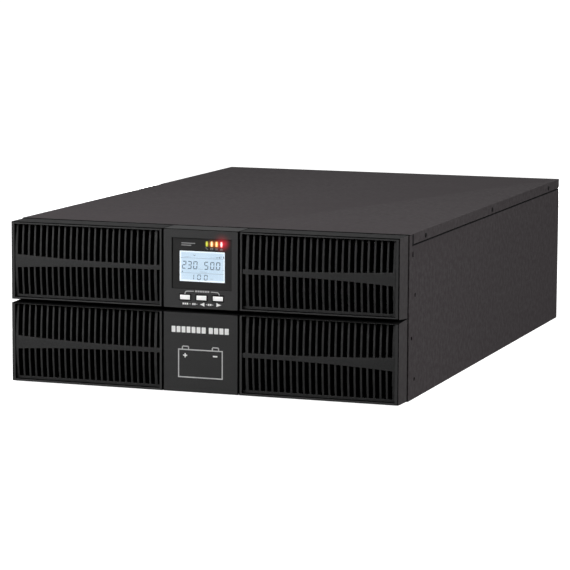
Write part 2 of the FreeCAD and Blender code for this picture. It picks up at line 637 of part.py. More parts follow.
for name, x in zip(("left", "centre", "right"), key_xs):
    key = Solid("button_" + name)
    key.pad_y(face_y - 0.9, 6.4, [rect(x - key_width / 2, x + key_width / 2, key_mid - key_height / 2, key_mid + key_height / 2)])
    key.fillet(Q(0.7, "0.7"), outer_edges(None, None, S("case_front") - S("bezel_depth") - 0.9))
    key.pad_y(face_y + 3.4, 2.1, [rect(x - key_width / 2 - 1.2, x + key_width / 2 + 1.2, key_mid - key_height / 2 - 1.2, key_mid + key_height / 2 + 1.2)])

# --------------------------------------------------- centre panel of lower row
badge, bzb0, bzb1, bzf0, bzf1 = moulding("battery_panel", -module_half, module_half, False)
badge.fillet(Q(1.0, "1.0"), outer_edges(None, None, S("case_front") - S("bezel_depth")))
badge.pocket_x(-module_half + frame_wall, module_half * 2 - frame_wall * 2,
               [[(face_y + 2.2, bzf0 + 2.0), (case_front + 1.0, bzb0 + 2.0), (case_front + 1.0, bzb1 - 2.0), (face_y + 2.2, bzf1 - 2.0)]])

# ------------------------------------------------------------- battery drawer
tray = Solid("battery_tray")
tray_w = inner_w - 1.6
tray_y0 = case_front
tray.pad_y(tray_y0, 634.0, [[(-tray_w, 2.0), (tray_w, 2.0), (tray_w, 80.0), (tray_w - sheet_metal, 80.0), (tray_w - sheet_metal, 3.2),
                             (-tray_w + sheet_metal, 3.2), (-tray_w + sheet_metal, 80.0), (-tray_w, 80.0)]])
tray.pad_y(tray_y0 + 634.0 - sheet_metal, sheet_metal, [rect(-tray_w, tray_w, 2.0, 74.0)])
tray.pad_y(tray_y0, sheet_metal, [rect(-tray_w, tray_w, 2.0, row_split - 1.6)])
tray.pocket_y(tray_y0, sheet_metal, [], [(s * x, z, 3.2) for s in (-1, 1) for x in peg_x for z in peg_dn])
runner = node(group(*[pbox(s * 205.0 - 6.0, s * 205.0 + 6.0, case_front + 4.0, case_front + 630.0, sheet_metal, 2.0) for s in (-1, 1)]), "drawer_runners")

cell_y0 = case_front + 8.0
cells, tabs, caps = [], [], []
for i in range(4):
    cx = -201.0 + 101.0 * i
    for j in range(4):
        y0 = cell_y0 + (cell_long + 3.0) * j
        cells.append(fuse(pbox(cx, cx + cell_wide, y0, y0 + cell_long, 3.2, 3.2 + cell_tall)))
        for dy in (14.0, 137.0):
            tabs.append(pbox(cx + cell_wide, cx + cell_wide + 5.6, y0 + dy - 3.2, y0 + dy + 3.2, 3.2 + 50.0, 3.2 + 50.8))
doc.recompute()
cell_nodes = []
for c in cells:
    # a moulded case: lid line and rounded corners
    b = c.Shapes[0]
    f = new("Part::Fillet", "case")
    f.Base = b
    f.Edges = [(k + 1, 2.0, 2.0) for k in range(12)]
    cell_nodes.append(f)
    doc.removeObject(c.Name)
node(group(*cell_nodes), "batteries")
links = []
for i in range(4):
    cx = -201.0 + 101.0 * i + S("cell_wide") + 3.0
    for j in range(3):
        y0 = num(cell_y0) + (S("cell_long") + 3.0) * j
        links.append(pcyl(cx, y0 + 137.0, 3.2 + 53.4, 2.4, 31.0, "Y"))
links.append(pcyl(-201.0 + S("cell_wide") + 3.0, num(cell_y0) + (S("cell_long") + 3.0) * 3 + 140.0, 3.2 + 68.2, 2.4, 101.0, "X"))
links.append(pcyl(-201.0 + 202.0 + S("cell_wide") + 3.0, num(cell_y0) + (S("cell_long") + 3.0) * 3 + 140.0, 3.2 + 68.2, 2.4, 101.0, "X"))
links.append(pcyl(-201.0 + 101.0 + S("cell_wide") + 3.0, num(cell_y0) + 6.0, 3.2 + 68.2, 2.4, 101.0, "X"))
node(group(*(links + tabs)), "battery_links")

handle = Solid("drawer_handle")
handle.pad_z(Q(26.5, "26.5"), 7.0, [[(-29.5, case_front), (-22.5, case_front), (-22.5, case_front - 17.0), (22.5, case_front - 17.0), (22.5, case_front),
                             (29.5, case_front), (29.5, case_front - 24.0), (-29.5, case_front - 24.0)]])
handle.fillet(Q(3.0, "3.0"), lambda e: e.BoundBox.ZLength > 6.9 and e.BoundBox.YMin < S("case_front") - 10)
node(cut(pbox(-18.0, 18.0, case_front - 22.0, case_front, 52.0, 70.0),
         fuse(pbox(-15.0, -1.5, case_front - 23.0, case_front - 6.0, 55.0, 67.0), pbox(1.5, 15.0, case_front - 23.0, case_front - 6.0, 55.0, 67.0))), "battery_connector")


# ------------------------------------------------------------------- fasteners
def pan_screw(x, y, z, axis, head_r=2.9, head_h=1.5, shank_r=1.5, shank=5.0):
    """Pan head screw; the head stands on (x, y, z) and the shank runs the other way."""
    back = {"X": "-X", "-X": "X", "Y": "-Y", "-Y": "Y"}[axis]
    return fuse(pcyl(x, y, z, head_r, head_h, axis), pcyl(x, y, z, shank_r, shank, back))


node(group(*[pan_screw(half_w if s > 0 else -half_w, y, screw_z, "X" if s > 0 else "-X", 2.6, 0.5, 1.5, 4.0) for s in (-1, 1) for y in screw_ys]), "cover_screws")

# ---------------------------------------------------------------- cooling fans
frames = []
for n, fx in (("one", fan_one_x), ("two", fan_two_x)):
    fan_y0 = rear_in - fan_thick
    fh = Solid("fan_%s_body" % n, False)
    frames.append(fh.body)
    hs = fan_size / 2
    fh.pad_y(fan_y0, fan_thick, [rect(fx - hs, fx + hs, fan_height - hs, fan_height + hs)])
    fh.pocket_y(fan_y0, fan_thick, [], [(fx, fan_height, fan_bore)])
    fh.pad_y(rear_in - 4.0, 4.0, [rect(fx - 39.0, fx + 39.0, fan_height - 2.0, fan_height + 2.0), rect(fx - 2.0, fx + 2.0, fan_height - 39.0, fan_height - 2.0), rect(fx - 2.0, fx + 2.0, fan_height + 2.0, fan_height + 39.0)])
    fh.pad_y(rear_in - 6.0, 6.0, [], [(fx, fan_height, 16.0)])
    fh.pocket_y(fan_y0 - 1, 30.0, [], [(fx, fan_height, axle_radius + axle_play)])
    fh.pocket_y(fan_y0, fan_thick, [], [(fx + a, fan_height + b, 2.2) for a, b in fan_holes])
    fh.fillet(Q(3.0, "3.0"), lambda e: e.BoundBox.YLength > 24.9 and e.BoundBox.XLength < 0.01 and e.BoundBox.ZLength < 0.01)

    # rotor: hub, axle and seven pitched blades
    cx, cz = num(fx), S("fan_height")
    y0 = num(fan_y0)
    hub = Part.makeCylinder(17.0, 15.0, Vec(cx, y0 + 2.0, cz), Vec(0, 1, 0))
    hub = hub.cut(Part.makeCylinder(15.0, 13.0, Vec(cx, y0 + 4.2, cz), Vec(0, 1, 0)))
    axle = Part.makeCylinder(S("axle_radius"), 21.0, Vec(cx, y0 + 3.0, cz), Vec(0, 1, 0))
    boss = Part.makeCylinder(4.0, 4.0, Vec(cx, y0 + 3.0, cz), Vec(0, 1, 0))
    rotor = hub.fuse([axle, boss])
    blade_r = S("fan_bore") - 1.0
    for k in range(7):
        sec = []
        for rr, tw, chord in ((16.0, 48.0, 15.0), (26.5, 36.0, 19.0), (blade_r, 28.0, 21.0)):
            t = math.radians(tw)
            dx, dy = math.cos(t) * chord / 2, math.sin(t) * chord / 2
            nx, ny = -math.sin(t) * 0.6, math.cos(t) * 0.6
            pts = [Vec(-dx - nx, y0 + 9.5 - dy * 0.75 - ny, rr), Vec(dx - nx, y0 + 9.5 + dy * 0.75 - ny, rr),
                   Vec(dx + nx, y0 + 9.5 + dy * 0.75 + ny, rr), Vec(-dx + nx, y0 + 9.5 - dy * 0.75 + ny, rr)]
            sec.append(Part.makePolygon(pts + [pts[0]]))
        blade = Part.makeLoft(sec, True, True)
        limit = Part.makeCylinder(blade_r, 30.0, Vec(0, y0 - 2, 0), Vec(0, 1, 0))
        blade = blade.common(limit)
        m = FreeCAD.Matrix()
        m.rotateY(2 * math.pi * k / 7)
        m.move(Vec(cx, 0, cz))
        rotor = rotor.fuse(blade.transformGeometry(m))
    feature("fan_%s_rotor" % n, rotor.removeSplitter())

node(group(*frames), "fan_frames")
guards = []
for fx in (fan_one_x, fan_two_x):
    parts = [ptorus(fx, case_rear + 2.4, fan_height, r, 0.9, "Y") for r in (10.0, 17.5, 25.0, 32.5, 39.5)]
    parts += [pbox(fx - 41.0, fx + 41.0, case_rear + 1.0, case_rear + 2.4, fan_height - 0.9, fan_height + 0.9),
              pbox(fx - 0.9, fx + 0.9, case_rear + 1.0, case_rear + 2.4, fan_height - 41.0, fan_height + 41.0)]
    for a, b in fan_holes:
        parts.append(cut(pcyl(fx + a, case_rear, fan_height + b, 4.0, 1.6, "Y"), pcyl(fx + a, case_rear - 1, fan_height + b, 2.2, 5.0, "Y")))
        bar = new("Part::Box", "spoke")
        ang = math.degrees(math.atan2(b, a))
        size(bar, Length=18.5, Width=1.6, Height=1.8)
        off = Vec(28.5, 0, -0.9)
        r = Rot(Vec(0, 1, 0), -ang)
        p = r.multVec(off)
        place(bar, fx + p.x, case_rear + 0.8, fan_height + p.z, r)
        parts.append(bar)
    guards.append(fuse(*parts))
node(group(*guards), "fan_guards")
node(group(*[pan_screw(fx + a, case_rear + 1.6, fan_height + b, "Y", 3.2, 1.8, 1.9, 12.0) for fx in (fan_one_x, fan_two_x) for a, b in fan_holes]
           + [pan_screw(term_x0 - 4.5, case_rear + 1.5, 110.5, "Y", 3.2, 1.8, 1.7, 6.0)]), "rear_screws")

# ------------------------------------------------------------- mains terminals
tb = Solid("terminal_block")
tb.pad_y(rear_in - 8.0, 24.0, [rect(term_x0 + 4.4, term_x1 - 4.4, term_z0 + 5.4, term_z1 - 5.4)])
tb.pocket_y(case_rear + 4.0, 12.0, [rect(term_x0 + 6.2 + 20.0 * i, term_x0 + 23.4 + 20.0 * i, term_z0 + 7.4, term_z1 - 4.4) for i in range(6)])
node(group(*[fuse(pcyl(term_x0 + 14.8 + 20.0 * i, case_rear + 4.0, 111.0, 4.2, 4.4, "Y"), pbox(term_x0 + 8.0 + 20.0 * i, term_x0 + 21.6 + 20.0 * i, case_rear + 4.0, case_rear + 5.6, 103.5, 118.0)) for i in range(6)]), "terminal_screws")
# the cover is a folded hood, and the cables come in through a flat plate that closes it below
tcov = Solid("terminal_hood", False)
tcov.pad_y(case_rear, 34.0, [rect(term_x0, term_x1, term_z0, term_z1)])
tcov.pocket_y(case_rear - 1.0, 33.5, [rect(term_x0 + 1.5, term_x1 - 1.5, term_z0 - 1.0, term_z1 - 1.5)])
tcov.pad_y(case_rear, 1.5, [rect(term_x0 - 9.0, term_x0 + 0.5, 104.0, 117.0)])
tcov.pad_y(case_rear, 1.5, [rect(term_x1 - 0.5, term_x1 + 7.0, 96.0, 99.8)])
tcov.pocket_y(case_rear, 1.5, [], [(term_x0 - 4.5, 110.5, 1.8)])
entry = cut(pbox(term_x0 + 1.5, term_x1 - 1.5, case_rear, case_rear + 32.5, term_z0, term_z0 + 1.5),
            fuse(pcyl(term_x0 + 30.0, case_rear + 17.0, term_z0 - 1.0, 11.0, 4.0), pcyl(term_x1 - 30.0, case_rear + 17.0, term_z0 - 1.0, 11.0, 4.0)))
node(group(tcov.body, entry), "terminal_cover")
glands = []
for gx in (term_x0 + 30.0, term_x1 - 30.0):
    gy = case_rear + 17.0
    outer = fuse(pcyl(gx, gy, term_z0 - 12.0, 10.9, 15.0), pprism(gx, gy, term_z0 - 6.0, 6, 13.5, 6.0), pprism(gx, gy, term_z0 + 1.5, 6, 13.5, 3.5), pcone(gx, gy, term_z0 - 16.5, 9.6, 12.0, 10.5))
    glands.append(cut(outer, pcyl(gx, gy, term_z0 - 30.0, gland_bore, 50.0)))
node(group(*glands), "cable_glands")

# ------------------------------------------------------------ input breaker
br = Solid("input_breaker")
br.pad_y(rear_in - 46.0, 46.0 + 5.0, [rect(-3.7, 21.7, 101.3, 136.7)])
br.pad_y(case_rear, 1.6, [rect(-8.0, 26.0, 97.0, 141.0)])
br.pocket_y(case_rear - 14.0, 30.0, [rect(2.0, 16.0, 111.0, 127.0)])
lever_y, lever_z = num(case_rear) - 4.0, 119.0
lever = fuse(pcyl(3.0, lever_y, lever_z, 7.0, 12.0, "X"), pbox(4.5, 13.5, lever_y, lever_y + 17.0, lever_z + 0.2, lever_z + 5.6))
node(lever, "breaker_lever")

# ------------------------------------------------------ signal ports and slot
db = Solid("serial_port")
db.pad_y(case_rear, 1.0, [rect(-153.5, -122.5, 149.4, 161.6)])
db.pad_y(rear_in - 8.0, 14.0, [[(-146.6, 151.4), (-129.4, 151.4), (-129.4, 159.6), (-146.6, 159.6)]])
db.pocket_y(case_rear + 0.5, 6.0, [rect(-145.8, -130.2, 152.2, 158.8)])
db.pad_y(case_rear + 0.5, 5.0, [], [(x, 155.5, 2.6) for x in (-150.3, -125.7)])
usb = Solid("usb_port")
usb.pad_y(rear_in - 10.0, 12.4, [rect(-170.6, -159.4, 150.4, 160.6)])
usb.pocket_y(rear_in - 6.0, 10.0, [rect(-169.6, -160.4, 151.4, 159.6)])
usb.pad_y(rear_in - 6.5, 7.0, [rect(-167.5, -162.5, 154.2, 157.0)])
epo = Solid("shutdown_socket")
epo.pad_y(rear_in - 9.0, 14.0, [rect(-201.6, -188.4, 150.4, 159.6)])
epo.pocket_y(case_rear - 2.0, 8.0, [rect(-200.4, -195.6, 151.6, 158.4), rect(-194.4, -189.6, 151.6, 158.4)])
slotc = Solid("card_slot_cover")
slotc.pad_y(case_rear, 1.2, [rect(-119.0, -11.0, 137.5, 168.5)])
slotc.pocket_y(case_rear, 1.2, [], [(-113.5, 153.0, 1.7), (-16.5, 153.0, 1.7)])
slotc.pad_y(case_rear + 1.0, 4.0, [rect(-75.0, -55.0, 151.8, 154.2)])
node(group(*[fuse(pcyl(x, case_rear + 1.2, 153.0, 4.0, 6.0, "Y"), pcyl(x, case_rear - 6.0, 153.0, 1.5, 7.3, "Y")) for x in (-113.5, -16.5)]), "slot_thumbscrews")
bc = Solid("battery_socket")
bc.pad_y(rear_in - 10.0, 26.0, [rect(-169.6, -130.4, 34.4, 55.6)])
bc.pad_y(case_rear, 2.0, [rect(-178.0, -122.0, 31.0, 59.0)])
bc.pocket_y(case_rear + 2.0, 14.0, [rect(-167.0, -151.5, 37.0, 53.0), rect(-148.5, -133.0, 37.0, 53.0)])
node(fuse(pcyl(-194.0, case_rear + 4.7, 22.0, stud_radius, stud_long - 4.7, "Y"), pcyl(-194.0, rear_in - 4.0, 22.0, stud_radius - 0.2, 10.0, "Y"), pprism(-194.0, rear_in - 4.0, 22.0, 6, 5.2, 4.0, "Y")), "earth_stud")
node(cut(fuse(pprism(-194.0, case_rear + 0.9, 22.0, 6, 5.2, 3.8, "Y"), pcyl(-194.0, case_rear, 22.0, 5.6, 0.9, "Y")), pcyl(-194.0, case_rear - 1.0, 22.0, stud_radius - 0.15, 10.0, "Y")), "earth_nut")

# ------------------------------------------------------------------- converter
pcb_z = row_split + 9.0
main_pcb = Solid("power_board")
main_pcb.pad_z(pcb_z, 1.6, [rect(-206.0, 206.0, -270.0, 292.0)])
main_pcb.pocket_z(pcb_z - 1, 4.0, [], [(s * 190.0, y, 1.7) for s in (-1, 1) for y in (-240.0, 0.0, 240.0)])
node(group(*[pcyl(s * 190.0, y, row_split + 0.2, 4.0, pcb_z - row_split - 0.2) for s in (-1, 1) for y in (-240.0, 0.0, 240.0)]), "board_standoffs")
sinks = []
for n, hx in (("left", -120.0), ("right", 60.0)):
    hsink = Solid("sink_" + n, False)
    sinks.append(hsink.body)
    comb = [(hx, pcb_z + 1.6), (hx + 70.0, pcb_z + 1.6), (hx + 70.0, pcb_z + 7.6)]
    for i in range(9):
        x_hi = hx + 70.0 - 8.0 * i
        x_lo = x_hi - 2.0
        if i:
            comb.append((x_hi, pcb_z + 7.6))
        comb.append((x_hi, pcb_z + 58.0))
        comb.append((x_lo, pcb_z + 58.0))
        comb.append((x_lo, pcb_z + 7.6))
    comb = [comb[0], comb[1]] + comb[3:]
    comb[-1] = (hx + 4.0, pcb_z + 7.6)
    comb.append((hx, pcb_z + 7.6))
    hsink.pad_y(-230.0, 300.0, [comb])
node(group(*sinks), "heatsinks")
node(group(*[pcyl(-30.0 + 33.0 * (i % 2), -210.0 + 36.0 * (i // 2), pcb_z + 1.6, 15.0, 50.0) for i in range(8)]), "bus_capacitors")
node(group(*[ptorus(-150.0 + 62.0 * i, 130.0, pcb_z + 1.6 + 10.0, 18.0, 10.0) for i in range(5)]), "chokes")
node(group(*[pbox(-110.0 + 40.0 * i, -80.0 + 40.0 * i, 185.0, 215.0, pcb_z + 1.6, pcb_z + 24.0) for i in range(5)]), "transfer_relays")
cb = Solid("control_board")
cb.pad_x(150.0, 1.6, [rect(-200.0, -40.0, pcb_z + 1.6, pcb_z + 66.0)])

# -------------------------------------------------------------- check and write
doc.recompute()
bad = []
for o in doc.Objects:
    if "Invalid" in o.State or "Error" in o.State:
        bad.append(o.Name + " " + str(o.State))
labels = [o.Label for o in NODES]
if len(set(labels)) != len(labels):
    bad.append("two sub-parts share a label")
for o in NODES:
    if o.Shape.isNull() or not o.Shape.isValid() or not o.Shape.Solids:
        bad.append("shape: " + o.Label)
if bad:
    raise RuntimeError("; ".join(bad))
if len(NODES) > 60:
    raise RuntimeError("too many sub-parts: %d" % len(NODES))
os.makedirs("parts", exist_ok=True)
for o in NODES:
    o.Shape.exportStep("parts/%s.step" % o.Label)
print("sub-parts written:", len(NODES))
for o in NODES:
    b = o.Shape.BoundBox
    print("%-22s solids %2d  x %.1f..%.1f  y %.1f..%.1f  z %.1f..%.1f  vol %.0f" % (o.Label, len(o.Shape.Solids), b.XMin, b.XMax, b.YMin, b.YMax, b.ZMin, b.ZMax, o.Shape.Volume))
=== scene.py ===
import json
import math
import random

import bmesh
import bpy
from mathutils import Matrix, Quaternion, Vector


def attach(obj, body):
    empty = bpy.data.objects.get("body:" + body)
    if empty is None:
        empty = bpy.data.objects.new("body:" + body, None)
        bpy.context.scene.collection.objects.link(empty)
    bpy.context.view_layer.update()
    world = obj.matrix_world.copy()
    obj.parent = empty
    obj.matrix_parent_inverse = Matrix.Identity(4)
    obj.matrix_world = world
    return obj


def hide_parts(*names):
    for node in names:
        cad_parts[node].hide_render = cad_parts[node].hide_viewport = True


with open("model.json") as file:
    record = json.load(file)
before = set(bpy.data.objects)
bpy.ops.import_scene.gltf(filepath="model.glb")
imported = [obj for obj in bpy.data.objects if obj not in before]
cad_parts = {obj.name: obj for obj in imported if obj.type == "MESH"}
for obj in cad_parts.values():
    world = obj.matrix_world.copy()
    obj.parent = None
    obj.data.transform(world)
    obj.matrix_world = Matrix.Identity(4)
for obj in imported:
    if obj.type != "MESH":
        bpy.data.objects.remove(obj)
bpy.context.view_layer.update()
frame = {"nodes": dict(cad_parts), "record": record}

random.seed(7)
scene = bpy.context.scene
scene.view_settings.view_transform = "Standard"
record = frame["record"]
BODY = {n: b for b, ns in record["behaviour"]["bodies"].items() for n in ns}
SLOT = {p["node"]: p["material_slot"] for p in record["subparts"]}
MM = 0.001

# sizes of the design, in millimetres
HALF = 219.0
FRONT = -308.0
FACE = -340.0
REAR = 340.0
TOP = 175.2
SPLIT = 87.6
MODULE = 42.1


# ------------------------------------------------------------------ materials
class Nodes:
    def __init__(self, name):
        self.m = bpy.data.materials.new(name)
        self.m.use_nodes = True
        self.t = self.m.node_tree
        self.t.nodes.clear()
        self.out = self.add("ShaderNodeOutputMaterial")
        self.coord = self.add("ShaderNodeTexCoord")

    def add(self, kind, **kw):
        n = self.t.nodes.new(kind)
        for k, v in kw.items():
            setattr(n, k, v)
        return n

    def link(self, a, b):
        self.t.links.new(a, b)

    def noise(self, scale, detail=2.0, rough=0.5, stretch=None):
        n = self.add("ShaderNodeTexNoise")
        n.inputs["Scale"].default_value = scale
        n.inputs["Detail"].default_value = detail
        n.inputs["Roughness"].default_value = rough
        if stretch:
            m = self.add("ShaderNodeMapping")
            m.inputs["Scale"].default_value = stretch
            self.link(self.coord.outputs["Object"], m.inputs["Vector"])
            self.link(m.outputs["Vector"], n.inputs["Vector"])
        else:
            self.link(self.coord.outputs["Object"], n.inputs["Vector"])
        return n.outputs["Fac"]

    def ramp(self, fac, lo, hi, a=0.0, b=1.0):
        n = self.add("ShaderNodeMapRange")
        n.inputs["From Min"].default_value = lo
        n.inputs["From Max"].default_value = hi
        n.inputs["To Min"].default_value = a
        n.inputs["To Max"].default_value = b
        self.link(fac, n.inputs["Value"])
        return n.outputs["Result"]

    def mix(self, fac, a, b):
        n = self.add("ShaderNodeMix", data_type="RGBA")
        for sock, v in ((n.inputs[0], fac), (n.inputs[6], a), (n.inputs[7], b)):
            if isinstance(v, (int, float)):
                sock.default_value = v
            elif isinstance(v, tuple):
                sock.default_value = v if len(v) == 4 else v + (1.0,)
            else:
                self.link(v, sock)
        return n.outputs[2]

    def maths(self, op, a, b=None):
        n = self.add("ShaderNodeMath", operation=op)
        for sock, v in ((n.inputs[0], a), (n.inputs[1], b)):
            if v is None:
                continue
            if isinstance(v, (int, float)):
                sock.default_value = v
            else:
                self.link(v, sock)
        return n.outputs[0]


def scaled(c, k):
    return tuple(min(1.0, max(0.0, v * k)) for v in c)


def finish(name, colour, rough=0.5, metal=0.0, spec=0.5, grain=900.0, depth=0.02, blotch=0.12, blotch_size=9.0,
           rough_var=0.08, speck=0.0, wear=0.25, wear_colour=None, coat=0.0, brushed=None, emit=None, emit_strength=0.0,
           grain_colour=0.0, painted_shade_fall=None, painted_glow=()):
    """A procedural surface: broad tone change, fine grain in colour and bump, uneven gloss and lighter worn edges, with
    optional painted shade darker towards the bottom and an optional painted glow of emission round given points.
    """
    n = Nodes(name)
    p = n.add("ShaderNodeBsdfPrincipled")
    n.link(p.outputs["BSDF"], n.out.inputs["Surface"])
    broad = n.noise(blotch_size, 3.0, 0.55)
    col = n.mix(n.ramp(broad, 0.3, 0.7), scaled(colour, 1.0 - blotch), scaled(colour, 1.0 + blotch))
    fine = n.noise(grain, 2.0, 0.6, brushed)
    if grain_colour:
        col = n.mix(n.ramp(fine, 0.3, 0.7), n.mix(grain_colour, col, (0.0, 0.0, 0.0)), n.mix(grain_colour * 0.35, col, (1.0, 1.0, 1.0)))
    if speck:
        dots = n.noise(grain * 0.45, 4.0, 0.7)
        col = n.mix(n.ramp(dots, 0.62, 0.72, 0.0, speck), col, scaled(colour, 2.4))
    if wear:
        g = n.add("ShaderNodeNewGeometry")
        edge = n.ramp(g.outputs["Pointiness"], 0.505, 0.56)
        scuff = n.ramp(n.noise(160.0, 4.0, 0.65), 0.42, 0.62)
        amount = n.maths("MULTIPLY", n.maths("MULTIPLY", edge, scuff), wear)
        col = n.mix(amount, col, wear_colour or tuple(0.5 * v + 0.12 for v in colour))
    if painted_shade_fall:
        # painted shade: the colour grows darker towards the bottom of the piece
        sep = n.add("ShaderNodeSeparateXYZ")
        n.link(n.coord.outputs["Object"], sep.inputs[0])
        col = n.mix(n.ramp(sep.outputs["Z"], painted_shade_fall[0], painted_shade_fall[1]), n.mix(painted_shade_fall[2], col, (0.0, 0.0, 0.0)), col)
    n.link(col, p.inputs["Base Color"])
    gloss = n.noise(blotch_size * 6.0, 4.0, 0.6)
    n.link(n.ramp(gloss, 0.3, 0.7, max(0.02, rough - rough_var), min(1.0, rough + rough_var)), p.inputs["Roughness"])
    p.inputs["Metallic"].default_value = metal
    p.inputs["Specular IOR Level"].default_value = spec
    p.inputs["Coat Weight"].default_value = coat
    p.inputs["Coat Roughness"].default_value = 0.08
    if depth:
        b = n.add("ShaderNodeBump")
        b.inputs["Strength"].default_value = 1.0
        b.inputs["Distance"].default_value = depth * MM
        n.link(fine, b.inputs["Height"])
        n.link(b.outputs["Normal"], p.inputs["Normal"])
    if emit:
        p.inputs["Emission Color"].default_value = emit + (1.0,)
        p.inputs["Emission Strength"].default_value = emit_strength
    if painted_glow:
        # painted light: emission on the surface round the lit mouldings stands in for the light that spills from them
        # over it
        sep = n.add("ShaderNodeSeparateXYZ")
        n.link(n.coord.outputs["Object"], sep.inputs[0])
        total = None
        for gx, gz, reach, tint, power in painted_glow:
            dx = n.maths("SUBTRACT", sep.outputs["X"], gx * MM)
            dz = n.maths("SUBTRACT", sep.outputs["Z"], gz * MM)
            d = n.maths("SQRT", n.maths("ADD", n.maths("MULTIPLY", dx, dx), n.maths("MULTIPLY", dz, dz)))
            k = n.maths("POWER", n.ramp(d, 0.0, reach * MM, 1.0, 0.0), 2.8)
            layer = n.mix(k, (0.0, 0.0, 0.0), tuple(power * v for v in tint))
            if total is None:
                total = layer
            else:
                a = n.add("ShaderNodeMix", data_type="RGBA", blend_type="ADD")
                a.inputs[0].default_value = 1.0
                n.link(total, a.inputs[6])
                n.link(layer, a.inputs[7])
                total = a.outputs[2]
        n.link(total, p.inputs["Emission Color"])
        p.inputs["Emission Strength"].default_value = 1.0
    return n.m


case_col = (0.0535, 0.0450, 0.0480)
bez_col = (0.0295, 0.0295, 0.0298)
